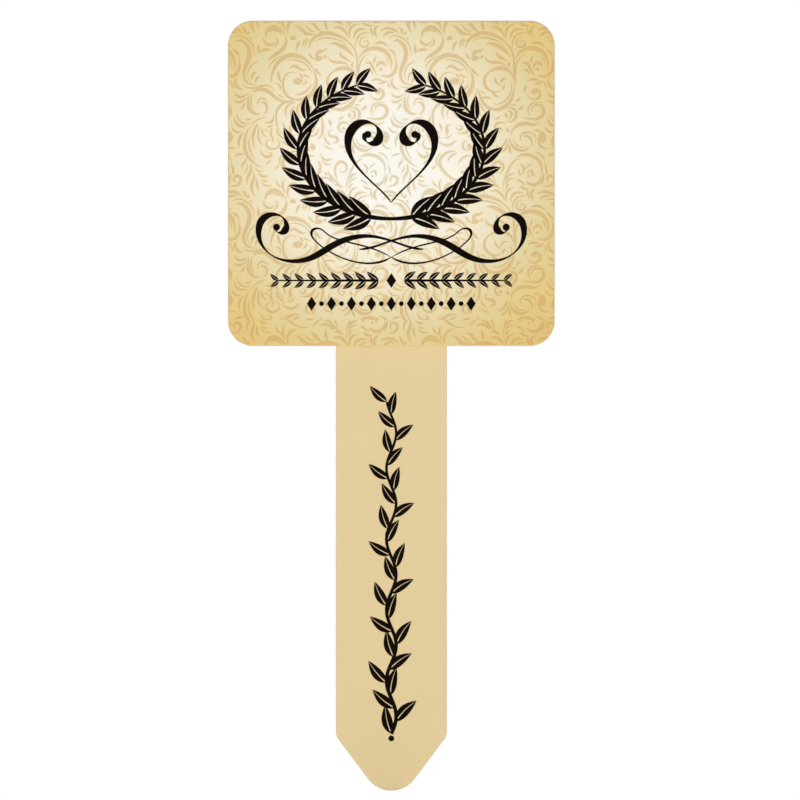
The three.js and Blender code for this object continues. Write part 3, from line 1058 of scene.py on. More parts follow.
# The feathered plume at the lower left
FEATHER: Motif = (
    (0.45, 0.5, (2.7, 21.8), (3, 20.5), (3.6, 19.4), (4.7, 18.6), (6, 18.4), (7.4, 18.8)),
    (0.85, 0.55, (2, 20.4), (2.3, 19), (3.1, 18), (4.4, 17.5), (5.9, 17.7)),
    (0.55, 0.5, (1.1, 17.6), (1.9, 16.3), (3, 15.7), (4.3, 15.9)),
    (0.5, 0.5, (5.4, 19.5), (6.4, 19.7), (7.4, 20)),
    (0.4, 0.4, (11.9, 20.5), (10.3, 20.1), (8.8, 19.4), (7.6, 18.2), (6.6, 16.7)),
    (1.05, 0.5, (7, 17.5), (6, 16), (5.4, 14.3), (5.2, 12.3), (5.3, 10.4), (5.9, 8.8), (6.6, 7.6),
     (7.8, 6.5), (9, 5.5), (10.4, 4.9)),
    (0.5, 0.5, (7, 15.2), (6.5, 13), (6.6, 11), (7.1, 9.5), (7.9, 8.1), (8.7, 7)),
    (1, 0.4, (9.4, 18.4), (8.5, 17), (8, 15.5), (7.8, 13.9), (7.9, 12.5), (8, 11)),
    (0.6, 0.45, (10, 17.6), (9.5, 16.2), (9.4, 14.7), (9.7, 13.3), (10.3, 12.3), (11.1, 11.8)),
    (0.55, 0.45, (10.4, 17.3), (10.7, 15.9), (11.2, 14.9), (12.1, 14.2)),
    (0.75, 0.45, (4.9, 15.6), (4, 14.6), (3.5, 13.4), (3.4, 12.2), (3.7, 11)),
    (0.8, 0.4, (13.8, 17.2), (13.3, 15.8), (13.5, 14.6), (14, 13.5), (14, 12.4)),
    (0.6, 0.4, (13.1, 13.6), (12.1, 13), (11.9, 12.1), (12.3, 11.2), (13.3, 10.6), (14.5, 10.6),
     (15.6, 11.2), (16, 12.3), (15.6, 13.3), (14.9, 14.3)),
    (0.75, 0.5, (14.2, 21.1), (14.2, 20), (13.5, 19), (12.4, 18.7), (11.4, 19)),
    (0.55, 0.5, (14.1, 18.3), (13.2, 17.5), (12, 17.4)),
    (0.5, 0.5, (11.4, 16.8), (11.8, 16.4), (12.3, 15.9)),
    (2.2, 0.5, (0.1, 12.3), (0.4, 14.2), (0.1, 16)),
    (0.65, 0.5, (48, 14.5), (47.9, 13), (48.4, 11.6), (49.5, 10.8), (51.1, 10.8)),
    (0.65, 0.5, (2.1, 8.2), (3.1, 8.8), (4, 8.9), (4.9, 9.4)),
    (0.7, 0.5, (5.5, 7.7), (5.3, 6.6), (4.6, 5.8), (4.3, 4.6)),
    (0.45, 0.5, (6.2, 5.8), (6, 4.5), (5.6, 3.6), (4.9, 2.8)),
    (0.9, 0.4, (7, 5.9), (7.2, 4.5), (6.9, 3.2), (6.2, 1.9), (5.9, 0.7), (6, -0.5)),
    (0.5, 0.5, (8.2, 4.8), (9.3, 3.8), (10.2, 3.5), (11.2, 3.7)),
    (0.75, 0.5, (9.5, 3), (10.3, 2.3), (11.2, 2), (12.4, 2.1)),
    (0.5, 0.5, (11.8, 5.7), (12.7, 6.5), (13.4, 7.3)),
    (0.9, 0.6, (10.1, 10.4), (10.7, 9), (11.6, 8.2), (12.6, 8), (13.4, 8.5), (13.4, 9.2), (12.7, 9.6)),
    (0.5, 0.5, (14.8, 4.1), (15.4, 5), (15.9, 5.6)),
    (0.85, 0.45, (2.5, 0.75), (2.15, 0.4), (1.75, 0.8), (1.95, 1.7), (2.8, 2.15), (3.7, 1.8), (4, 0.8),
     (3.5, -0.3), (2.4, -0.9), (0.5, -1.1)),
    (0.6, 0.5, (1, 6.1), (1.4, 4.9), (1.7, 3.4), (1.8, 2.2)),
    (0.7, 0.5, (0.8, 3.1), (0.7, 1.9), (0.4, 0.6), (-0.2, -0.8)))
# The fan of leaves under the great ring
LOWER_FAN: Motif = (
    (0.75, 0.3, (20.6, 25.3), (18.3, 25.2), (16.8, 24.5), (15.7, 23.3), (15, 21.8), (15.05, 20),
     (15.2, 18.4), (15.6, 17), (16.4, 15.9), (17.4, 15)),
    (0.7, 0.45, (21.3, 24.9), (19.6, 24.7), (18.4, 23.8), (18, 22.6), (18, 21.3), (18.4, 20)),
    (0.6, 0.45, (21.1, 24), (20, 23.1), (19.5, 22), (19.4, 20.5)),
    (0.85, 0.45, (23.1, 25.3), (22, 24), (21.5, 22.7), (21.8, 21.4), (22.8, 20.2)),
    (0.4, 0.45, (26, 26.1), (24.4, 25), (23.3, 23.8), (22.8, 22.5)),
    (0.9, 0.5, (25.3, 24.1), (25.7, 23), (25.3, 21.8)),
    (0.6, 0.5, (16.9, 18.6), (17.6, 17.3), (17.8, 16.1)),
    (0.95, 0.6, (20.6, 18.4), (19.5, 17.8), (19.3, 16.8), (19.5, 15.8), (19.1, 14.7)),
    (0.8, 0.45, (15.1, 17), (15.5, 15.5), (16.4, 14.5), (17.6, 13.8)),
    (0.75, 0.5, (16.8, 13), (18.1, 12), (19.7, 11.7), (21, 12.2), (22.4, 13.3)),
    (0.5, 0.5, (18.4, 13.9), (19.6, 14.1), (20.9, 14.9)),
    (0.6, 0.5, (22.3, 17.5), (22.6, 16.7), (23.4, 16.4), (24.1, 16.9), (23.8, 17.7), (23.1, 18)),
    (0.95, 0.6, (22.5, 15.5), (23.8, 15.4), (25.2, 15.6), (26.4, 16.5), (27.3, 18)),
    (0.6, 0.5, (25.5, 14.5), (26.8, 14.7), (27.7, 15.6), (28.2, 17)),
    (0.85, 0.5, (29, 20.9), (29.4, 19), (29.5, 17), (29.3, 15.2), (28.6, 14.2), (27.8, 13.6)),
    (1.5, 0.5, (26.6, 10.1), (26.4, 11.1), (26.1, 12.2)),
    (0.7, 0.5, (25.6, 13.2), (24.7, 12.6), (24.3, 11.5), (24.8, 10.4), (25.9, 10)))
# The volutes along the foot
FOOT_VOLUTE: Motif = (
    (1, 0.4, (22.2, 9.75), (20.6, 9.8), (19, 9.2), (17.7, 8), (17.1, 6.6), (17.4, 5), (18.3, 3.7),
     (19.8, 2.2), (21.5, 1.1), (23.3, 0.65), (24.9, 0.6)),
    (0.5, 0.5, (17.4, 9.3), (16.3, 7.8), (16.1, 6.3), (16.5, 4.9)),
    (0.6, 0.45, (22.6, 9.3), (21.2, 8.7), (20.1, 7.7), (19.6, 6.5)),
    (0.65, 0.5, (27, 8.4), (25.2, 8.3), (23.8, 7.3), (23, 5.8)),
    (0.8, 0.5, (28, 7.2), (28.7, 5.6), (28.6, 4), (27.9, 2.6), (26.2, 1.1)),
    (0.5, 0.5, (24.9, 4.7), (26.2, 4.2), (26.9, 2.9)),
    (0.7, 0.5, (23.6, 3.5), (24.2, 3.3), (24.8, 3.1)),
    (0.65, 0.5, (28.7, 9.2), (29.3, 7.9), (30.2, 7.1), (31.5, 7.2), (32.7, 7.6)),
    (0.45, 0.5, (29.2, 6.9), (30.2, 6), (31.3, 5.7), (32.3, 6)),
    (0.85, 0.5, (34.4, 0.4), (33.5, 2.3), (33.3, 4.2), (33.9, 5.8), (35.2, 6.6), (36.5, 6), (37, 4.7),
     (36.4, 3.5), (35.3, 3.3), (34.9, 4.2)),
    (0.75, 0.45, (31.1, 3.6), (31.7, 2.3), (32.6, 1.2), (33.8, 0.2), (35, -0.7)),
    (0.6, 0.5, (30.1, 3.2), (30.5, 2.8), (31, 2.4)),
    (0.7, 0.5, (28.4, 1.1), (29.6, 1.6), (30.9, 1.5), (32, 0.8), (33, -0.4)),
    (0.6, 0.5, (40.5, 2.9), (39.2, 2.7), (38.3, 1.9), (37.7, 0.5)),
    (1.1, 0.4, (40.8, 7.9), (42.5, 8.7), (44.2, 8.8), (46.2, 8.2), (47.7, 7.2), (48.6, 5.8), (48.9, 4),
     (48.8, 2.4)),
    (1, 0.45, (43.9, 0.6), (44.8, -0.2), (46.2, -0.65), (47.6, -0.2), (48.5, 1), (48.9, 2.7)),
    (0.75, 0.5, (41.9, 6), (43, 5.2), (43.3, 4), (43, 2.6)),
    (0.6, 0.5, (41.7, 4.4), (41.9, 3.1), (42.5, 2.2)),
    (0.5, 0.5, (45.9, 6.1), (44.6, 5.2), (43.7, 4.2)),
    (0.9, 0.5, (45, 4.2), (45.9, 3.2), (46.1, 1.9)),
    (0.7, 0.5, (44.3, 3.5), (44.6, 3.3), (44.9, 3.1)),
    (0.7, 0.5, (44.5, 2.3), (44.8, 2.1), (45.1, 1.9)),
    (0.55, 0.5, (46.5, 9.5), (47.9, 9.1), (49.3, 8), (49.8, 6.5)))
# The scrolls at the lower right
LOWER_RIGHT: Motif = (
    (0.5, 0.5, (48.9, 25), (47, 25), (45.5, 24.4), (44.7, 23.2), (44.7, 21.8), (45.4, 20.8)),
    (1, 0.5, (45.6, 22.2), (45.9, 23.5), (47, 24.2), (48.4, 24.1), (49.3, 23.2), (49.4, 21.8),
     (48.7, 20.6), (47.3, 19.9), (45.4, 19.9), (43.2, 20.3)),
    (0.8, 0.45, (43, 24.1), (42.4, 23.2), (41.4, 22.7)),
    (0.9, 0.45, (38, 23.4), (39.7, 23.2), (40.7, 22.4), (40.9, 21.1), (40.4, 19.8), (39.3, 19.1),
     (37.7, 19.2)),
    (0.7, 0.5, (37.9, 22.6), (39.1, 22.3), (39.5, 21.3), (39.2, 20.4), (38.1, 19.9)),
    (0.9, 0.5, (37.6, 21.7), (37.8, 21), (38, 20.3)),
    (0.5, 0.5, (36, 20.9), (35.2, 20.1), (34.2, 19.8)),
    (0.7, 0.45, (37.8, 18.3), (36.4, 18.8), (35.1, 18.6), (34.4, 17.7), (34.5, 16.6), (35.3, 15.9),
     (36.5, 15.9)),
    (0.7, 0.5, (35.5, 17.2), (36, 16.9), (36.5, 16.5)),
    (0.75, 0.45, (38, 17.2), (38.3, 16.3), (38.9, 15.8)),
    (1.15, 0.5, (39.3, 14.9), (39.7, 16.3), (40.7, 17.5), (42.1, 18.2), (43.8, 18.5), (45.5, 18.2),
     (47, 18.2), (48.5, 19)),
    (1.1, 0.5, (38.9, 13.9), (39.2, 12.3), (40.1, 11.1), (41.4, 10.3), (42.9, 10.1), (44.2, 10.5),
     (45.2, 11.4)),
    (0.45, 0.5, (39.9, 14), (40.4, 12.5), (41.5, 11.5), (42.9, 11.1), (44.3, 11.5)),
    (0.5, 0.4, (42.7, 12.9), (42.2, 13.9), (42.6, 15), (43.8, 15.7), (45.3, 15.6), (46.6, 14.9),
     (47.1, 13.8), (46.7, 12.2)),
    (0.75, 0.4, (43, 14.4), (44.2, 14.6), (45.3, 13.9), (45.8, 12.8), (45.8, 11.3)),
    (0.5, 0.5, (46.2, 16.3), (47.5, 16.3), (48.7, 15.6)),
    (0.7, 0.4, (38.3, 14.1), (37.5, 12.6), (36.6, 11.4), (35.6, 11), (34.7, 11.7)),
    (0.8, 0.45, (38.4, 12.7), (38, 11.2), (37.3, 10.2), (36, 9.5)),
    (0.75, 0.45, (38.8, 11.8), (38.9, 10.3), (39.5, 9)),
    (0.9, 0.6, (32.3, 16.7), (31.4, 15.8), (31.5, 14.8), (32.6, 14.4), (33.7, 14.2), (34.2, 13.4),
     (33.7, 12.7), (32.7, 12.3)),
    (0.6, 0.5, (30, 14.9), (30.3, 13.5), (30.9, 12.5), (32.1, 11.8)),
    (0.45, 0.5, (29.6, 11.9), (30.5, 11.1), (31.5, 10.8), (32.7, 10.1)),
    (0.8, 0.5, (31.1, 19.7), (31.8, 18.8), (32.1, 17.6)))
# The whole cell
SCROLL_MOTIFS: tuple[Motif, ...] = (
    LEFT_STEM, CREST_LEAVES, UPPER_VOLUTE, GREAT_RING, ARCH, PLUME, RIGHT_RING, MIDDLE_VOLUTE, LEFT_VOLUTE,
    FEATHER, LOWER_FAN, FOOT_VOLUTE, LOWER_RIGHT)


@dataclass(frozen=True)
class ScrollTile:
    """A seamless cell of traditional rococo scrollwork, drawn with a pointed pen."""

    width: float = 48.71
    height: float = 50.74
    hairline: float = 0.1
    bud_ratio: float = 0.55
    bud_power: float = 0.55

    def stroke(self, width: float, belly: float, *knots: Pair) -> Stroke:
        """Draws a pen line, which swells towards its belly; one that is short for its width is a round bud.

        Args:
            width: the line's greatest width.
            belly: where along the line that is, from 0 to 1.
            *knots: the points that the line passes.

        Returns:
            The stroke.
        """
        points = smooth_line(knots)
        along = np.linspace(0, 1, len(points))
        swell = np.sin(math.pi * along ** (math.log(0.5) / math.log(belly))).clip(0.0, 1.0)
        length = float(np.linalg.norm(np.diff(points, axis=0), axis=1).sum())
        share = swell ** (self.bud_power if width > self.bud_ratio * length else 1.0)
        return Stroke(points, 0.5 * width * (self.hairline + (1 - self.hairline) * share))

    def cell(self, name: str, grow: float = 0.0, least: float = 0.0) -> Mesh:
        """Joins the strokes into one flat mesh about the cell's middle, cut at its borders.

        Args:
            name: the mesh's name.
            grow: how much wider each side of each stroke gets.
            least: the width below which a pen line is left out.

        Returns:
            The cell in the XY plane, in metres.
        """
        ribbons: list[tuple[Loop, Loop]] = []
        lines = [line for motif in SCROLL_MOTIFS for line in motif if line[0] >= least]
        for stroke in (self.stroke(*line).grown(grow) for line in lines):
            low = stroke.points.min(axis=0) - stroke.half.max()
            high = stroke.points.max(axis=0) + stroke.half.max()
            columns, rows = (
                range(math.floor(-top / size) + 1, math.ceil(1 - base / size))
                for base, top, size in zip(low, high, (self.width, self.height)))
            for column in columns:
                for row in rows:
                    shift = ((column - 0.5) * self.width, (row - 0.5) * self.height)
                    ribbons.append(stroke.sides(shift))
        x, z = self.width / 2, self.height / 2
        points, faces = merged_region(ribbons, np.array([(-x, -z), (x, -z), (x, z), (-x, z)]))
        return new_mesh(name, np.pad(points, ((0, 0), (0, 1))) * MM, faces.tolist())


@dataclass(frozen=True)
class BroadNib:
    """A broad pen nib: thin along its own slant and thick across it."""

    slant_degrees: float = 35.0
    thin: float = 0.2
    thick: float = 1.15
    swell_power: float = 1.6
    taper_mm: float = 4.0
    end_share: float = 0.25
    samples: int = 14

    def stroke(self, knots: list[Pair], weight: float = 1.0) -> Stroke:
        """Draws a stroke along cubic curves.

        Args:
            knots: a start point, then two handles and an end point for each curve.
            weight: how hard the pen is pressed; less than 1 gives a hairline.

        Returns:
            The stroke, tapered at both ends.
        """
        t = np.linspace(0, 1, self.samples + 1)[:, None]
        parts = []
        for i in range(0, len(knots) - 3, 3):
            a, b, c, d = (np.array(knot, float) for knot in knots[i:i + 4])
            curve = (1 - t) ** 3 * a + 3 * t * (1 - t) ** 2 * b + 3 * t * t * (1 - t) * c + t ** 3 * d
            parts.append(curve if i == 0 else curve[1:])
        points = np.concatenate(parts)
        along = np.gradient(points, axis=0)
        angle = np.arctan2(along[:, 1], along[:, 0]) - math.radians(self.slant_degrees)
        width = self.thin + (self.thick - self.thin) * weight * np.abs(np.sin(angle)) ** self.swell_power
        run = np.concatenate([[0], np.cumsum(np.linalg.norm(np.diff(points, axis=0), axis=1))])
        ends = np.clip(np.minimum(run, run[-1] - run) / self.taper_mm, 0.0, 1.0)
        return Stroke(points, width * (self.end_share + (1 - self.end_share) * np.sqrt(ends)))


def dot(centre: Pair, radius: float, count: int = 13) -> Stroke:
    """A round blot.

    Args:
        centre: the blot's middle.
        radius: its radius.
        count: how many points its middle line has.

    Returns:
        The blot as a short fat stroke.
    """
    turn = np.linspace(-math.pi / 2, math.pi / 2, count)
    points = np.stack([np.full(count, centre[0]), centre[1] + radius * np.sin(turn)], axis=1)
    return Stroke(points, np.maximum(radius * np.cos(turn), POINTED_MM))


def diamond(centre: Pair, half_width: float, half_height: float) -> Stroke:
    """A diamond as a short stroke, widest in its middle.

    Args:
        centre: the diamond's middle.
        half_width: its half width.
        half_height: its half height.

    Returns:
        The diamond.
    """
    points = np.array([(centre[0], centre[1] + rise * half_height) for rise in (-1, 0, 1)])
    return Stroke(points, np.array([POINTED_MM, half_width, POINTED_MM]))


# Sub-assemblies


@dataclass(frozen=True)
class NodeBox:
    """A CAD node's box at rest, in millimetres: its lowest and its highest x, y and z."""

    low: tuple[float, ...]
    high: tuple[float, ...]

    @classmethod
    def read(cls, node: str) -> "NodeBox":
        """Reads a node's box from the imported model."""
        low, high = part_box(node)
        return cls(tuple(value / MM for value in low), tuple(value / MM for value in high))

    @property
    def size(self) -> tuple[float, ...]:
        """The box's width, depth and height."""
        return tuple(high - low for low, high in zip(self.low, self.high))

    @property
    def middle(self) -> Pair:
        """The box's middle, seen from the front."""
        return (self.low[0] + self.high[0]) / 2, (self.low[2] + self.high[2]) / 2


@dataclass
class LeafTemplate:
    """A laurel leaf of unit length along x: a pointed oval with an open midrib."""

    half_width: float = 0.185
    root_lean: float = 0.8
    fullness: float = 0.85
    rib: float = 0.022
    rib_taper: float = 0.75
    rib_share: float = 0.6
    least_blade: float = 1e-4
    bow: float = 0.05
    steps: int = 9
    height_mm: float = InkLayer.BLACK_LEAF.value

    def build(self) -> Object:
        """Makes the leaf lying in the XY plane, with its printed height along +Z.

        Returns:
            The leaf's object, which the spray tree copies.
        """
        t = np.linspace(0, 1, self.steps + 1)
        middle = self.bow * np.sin(math.pi * t)
        edge = self.half_width * np.sin(math.pi * t ** self.root_lean) ** self.fullness
        rib = np.minimum(self.rib * (1 - self.rib_taper * t), self.rib_share * edge)
        points: list[tuple[float, float, float]] = []
        faces: list[tuple[int, ...]] = []
        for side in (1, -1):
            base = len(points)
            inner = middle + side * rib
            outer = middle + side * np.maximum(edge, rib + self.least_blade)
            for level in (self.height_mm * MM, -SUNK_MM * MM):
                for row in (inner, outer):
                    points.extend((float(x), float(y), level) for x, y in zip(t, row))
            count = self.steps + 1
            top_in, top_out, low_in, low_out = (base + k * count for k in range(4))
            for i in range(self.steps):
                quads = [
                    (top_in + i, top_in + i + 1, top_out + i + 1, top_out + i),
                    (low_in + i, low_out + i, low_out + i + 1, low_in + i + 1),
                    (top_out + i, top_out + i + 1, low_out + i + 1, low_out + i),
                    (top_in + i + 1, top_in + i, low_in + i, low_in + i + 1)]
                faces.extend(quad if side > 0 else quad[::-1] for quad in quads)
            for i, turn in ((0, 1), (self.steps, -1)):
                end = (top_in + i, top_out + i, low_out + i, low_in + i)
                faces.append(end[::side * turn])
        return new_object("leaf_template", new_mesh("leaf_template", points, faces))


@dataclass(frozen=True)
class LeafSpray:
    """A tapering branch and its leaves: sizes from root to tip, and the leaves' spread in degrees."""

    half: Pair
    leaf: Pair
    spacing: float
    spread: float
    by_turns: bool = False

    def values(self) -> dict[str, float]:
        """The spray tree's inputs by name."""
        return {
            "Spacing": self.spacing * MM, "Spread": math.radians(self.spread),
            "Root Size": self.leaf[0] * MM, "Tip Size": self.leaf[1] * MM, "By Turns": float(self.by_turns)}


@dataclass
class LeafOrnament:
    """Black leaf ornament printed on one sheet: sprays of leaves on branches, with pen strokes."""

    name: str
    sheet_mm: float
    mask: Loop
    origin: Pair
    strokes: list[Stroke] = field(default_factory=list)
    sprays: list[tuple[np.ndarray, LeafSpray]] = field(default_factory=list)

    def branch(self, points: np.ndarray, spray: LeafSpray) -> None:
        """Adds a branch, given from root to tip, with its leaves."""
        self.strokes.append(Stroke(points, np.linspace(*spray.half, len(points))))
        self.sprays.append((points, spray))

    def print_on(self, rig: NodeRig, leaf: Object, ink: Material) -> None:
        """Makes the printed pieces.

        Args:
            rig: the tree that sets leaves along a branch.
            leaf: the leaf to set.
            ink: the ink's material.
        """
        region = merged_region([stroke.sides(self.origin) for stroke in self.strokes], self.mask)
        strokes = region_mesh(self.name, region, self.sheet_mm, InkLayer.BLACK_STROKE)
        piece(f"{self.name}_strokes", strokes, ink, Slot.PRINT)
        upright = Matrix.Translation((self.origin[0] * MM, self.sheet_mm * MM, self.origin[1] * MM))
        upright @= Matrix.Rotation(math.pi / 2, 4, "X")
        joined: list[Mesh] = []
        for points, spray in self.sprays:
            line = bpy.data.curves.new("branch", "CURVE")
            line.dimensions = "3D"
            spline = line.splines.new("POLY")
            spline.points.add(len(points) - 1)
            for knot, (x, z) in zip(spline.points, points):
                knot.co = (x * MM, z * MM, 0.0, 1.0)
            mesh = rig.run(line, {"Leaf": leaf, "Material": ink, **spray.values()})
            mesh.transform(upright)
            joined.append(mesh)
        piece(f"{self.name}_leaves", join_meshes(f"{self.name}_leaves", joined), ink, Slot.PRINT)


def join_meshes(name: str, meshes: list[Mesh]) -> Mesh:
    """Joins several meshes into one.

    Args:
        name: the joined mesh's name.
        meshes: the meshes, in the same frame.

    Returns:
        One mesh with the faces of all.
    """
    points: list[Vector] = []
    faces: list[list[int]] = []
    for mesh in meshes:
        base = len(points)
        points.extend(v.co.copy() for v in mesh.vertices)
        faces.extend([base + i for i in face.vertices] for face in mesh.polygons)
    return new_mesh(name, points, faces)


@dataclass
class LapJoint:
    """The hidden joint: two foam strips between head and blade, and four rivets through all."""

    shank_radius: float = 1.6
    head_radius: float = 3.0
    head_land: float = 0.1
    head_edge: float = 0.08
    hole_clearance: float = 0.1
    countersink_land: float = 0.6
    head_recess: float = 0.05
    tail_wall: float = 0.7
    tail_points: int = 15
    bore_depth: float = 0.6
    strip_corner: float = 0.5
    strip_corner_steps: int = 6
    strip_edge: float = 0.12
    strip_edge_steps: int = 3
    around: int = 40
    crease: float = math.radians(35)

    def __post_init__(self) -> None:
        """Reads the rivets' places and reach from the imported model."""
        boxes = [NodeBox.read(rivet) for rivet in RIVETS]
        self.centres = [box.middle for box in boxes]
        self.front = boxes[0].low[1]
        self.tail_back = boxes[0].high[1]
        self.tail_radius = boxes[0].size[0] / 2

    def hole(self, centre: Pair, profile: np.ndarray) -> tuple[Loop, np.ndarray]:
        """A round hole for a rivet, clockwise, with its edge profile."""
        radius = self.shank_radius + self.hole_clearance
        return arc(centre, radius, 2 * math.pi, 0, self.around)[:-1], profile

    def straight(self, thickness: float) -> np.ndarray:
        """The edge profile of a straight hole."""
        return np.array([(0.0, 0.0), (0.0, thickness)])

    def countersunk(self, thickness: float) -> np.ndarray:
        """The edge profile of a countersunk hole that is open at the front."""
        flare = self.head_radius - self.shank_radius
        return np.array([(flare, 0.0), (flare, self.head_recess), (0.0, thickness - self.countersink_land),
                         (0.0, thickness)])

    def strips(self, material: Material) -> None:
        """Builds the foam strips, each with its two rivet holes.

        Args:
            material: their foam.
        """
        for node in ("bond_strip_left", "bond_strip_right"):
            box = NodeBox.read(node)
            width, depth, length = box.size
            rim = rounded_rectangle(box.middle, width, length, self.strip_corner, self.strip_corner_steps)
            outlines = [(rim, rolled_edge(depth, self.strip_edge, self.strip_edge_steps))]
            for centre in self.centres:
                if box.low[0] < centre[0] < box.high[0]:
                    outlines.append(self.hole(centre, self.straight(depth)))
            piece(f"foam_{node}", plate_mesh(node, outlines, box.low[1]), material, Slot.FOAM, node)

    def profile(self) -> list[Pair]:
        """A rivet's half section: flush head, shank, rolled tail and its bore.

        Returns:
            (radius, depth) rows from front to back.
        """
        blade_back = NodeBox.read("stake_blade").high[1]
        head_back = NodeBox.read("head_plate").high[1]
        bore = self.shank_radius - self.tail_wall
        ring = (self.tail_radius + bore) / 2
        half = (self.tail_radius - bore) / 2
        rise = self.tail_back - blade_back
        floor = blade_back - self.bore_depth
        rows = [
            (0.0, self.front), (self.head_radius - self.head_land, self.front),
            (self.head_radius, self.front + self.head_edge),
            (self.shank_radius, head_back - self.countersink_land), (self.shank_radius, blade_back)]
        roll = np.linspace(0, math.pi, self.tail_points)
        rows += [(ring + half * math.cos(a), blade_back + rise * math.sin(a)) for a in roll]
        return rows + [(bore, floor), (0.0, floor)]

    def rivet(self) -> Mesh:
        """Turns one rivet from its half section.

        Returns:
            The rivet's mesh, about the y axis.
        """
        (_, first), *turned, (_, last) = self.profile()
        points = [(0.0, first, 0.0)]
        for radius, y in turned:
            for step in range(self.around):
                turn = 2 * math.pi * step / self.around
                points.append((radius * math.cos(turn), y, radius * math.sin(turn)))
        points.append((0.0, last, 0.0))
        faces: list[tuple[int, ...]] = []
        for step in range(self.around):
            after = (step + 1) % self.around
            faces.append((0, 1 + step, 1 + after))
            for row in range(len(turned) - 1):
                near = 1 + row * self.around
                far = near + self.around
                faces.append((near + step, far + step, far + after, near + after))
            end = 1 + (len(turned) - 1) * self.around
            faces.append((end + step, len(points) - 1, end + after))
        return new_mesh("rivet", np.array(points) * MM, faces)

    def rivets(self, rig: NodeRig, material: Material) -> None:
        """Sets the rivet at its four places.

        Args:
            rig: the tree that sets the rivets.
            material: their metal.
        """
        low, high = np.min(self.centres, axis=0), np.max(self.centres, axis=0)
        x, z = (low + high) / 2 * MM
        made = rig.run(self.rivet(), {
            "Pitch X": float(high[0] - low[0]) * MM, "Pitch Z": float(high[1] - low[1]) * MM,
            "Middle": (float(x), 0.0, float(z)), "Material": material})
        made.set_sharp_from_angle(angle=self.crease)
        made.polygons.foreach_set("use_smooth", [True] * len(made.polygons))
        piece("rivet_set", made, material, Slot.RIVET, *RIVETS)


@dataclass
class StakeBlade:
    """The flat blade with a blunt rounded point, and the leaf vine printed up its front."""

    tip_radius: float = 9.1
    tip_half_angle: float = math.radians(36.8)
    tip_steps: int = 32
    corner_steps: int = 12
    shoulder_radius: float = 4.5
    top_radius: float = 4.0
    edge_radius: float = 0.3
    vine: LeafSpray = LeafSpray(half=(0.6, 0.35), leaf=(9.2, 7.2), spacing=4.1, spread=35, by_turns=True)
    vine_foot: float = 17.6
    vine_top: float = 120.8
    vine_sway: float = 1.5
    vine_wave: float = 22.0
    vine_points: int = 120
    berry_drop: float = 1.4
    berry_radius: float = 0.9

    def __post_init__(self) -> None:
        """Reads the blade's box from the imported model."""
        box = NodeBox.read("stake_blade")
        self.half = box.size[0] / 2
        self.thickness = box.size[1]
        self.top = box.high[2]
        self.front = box.low[1]

    def outline(self) -> Loop:
        """The blade's outline: tip arc, slants, rounded shoulders, straight sides and round top corners.

        Returns:
            The outline's points, counter-clockwise.
        """
        slant = self.tip_half_angle
        start = self.tip_radius * (1 - math.sin(slant))
        rise = (self.half - self.tip_radius * math.cos(slant)) / math.tan(slant)
        shoulder = start + rise + self.shoulder_radius * math.tan(slant / 2)
        side = self.half - self.shoulder_radius
        corner = self.half - self.top_radius
        high = self.top - self.top_radius
        half_turn = math.pi
        return np.concatenate([
            arc((0, self.tip_radius), self.tip_radius, half_turn + slant, 2 * half_turn - slant,
                self.tip_steps),
            arc((side, shoulder), self.shoulder_radius, -slant, 0, self.corner_steps),
            arc((corner, high), self.top_radius, 0, half_turn / 2, self.corner_steps),
            arc((-corner, high), self.top_radius, half_turn / 2, half_turn, self.corner_steps),
            arc((-side, shoulder), self.shoulder_radius, half_turn, half_turn + slant, self.corner_steps)])

    def build(self, joint: LapJoint, coat: Material) -> None:
        """Builds the drilled plate.

        Args:
            joint: the rivets that pass through it.
            coat: its finish.
        """
        outlines = [(self.outline(), rolled_edge(self.thickness, self.edge_radius))]
        outlines += [joint.hole(centre, joint.straight(self.thickness)) for centre in joint.centres]
        piece("blade", plate_mesh("blade", outlines, self.front), coat, Slot.COAT, "stake_blade")

    def decorate(self, rig: NodeRig, leaf: Object, ink: Material) -> None:
        """Prints the vine, with a berry at its foot.

        Args:
            rig: the tree that sets leaves along a branch.
            leaf: the leaf to set.
            ink: the ink's material.
        """
        ornament = LeafOrnament("vine", self.front, self.outline(), (0.0, 0.0))
        z = np.linspace(self.vine_foot, self.vine_top, self.vine_points)
        x = self.vine_sway * np.sin(2 * math.pi * (z - self.vine_foot) / self.vine_wave)
        ornament.branch(np.stack([x, z], axis=1), self.vine)
        ornament.strokes.append(dot((0.0, self.vine_foot - self.berry_drop), self.berry_radius))
        ornament.print_on(rig, leaf, ink)


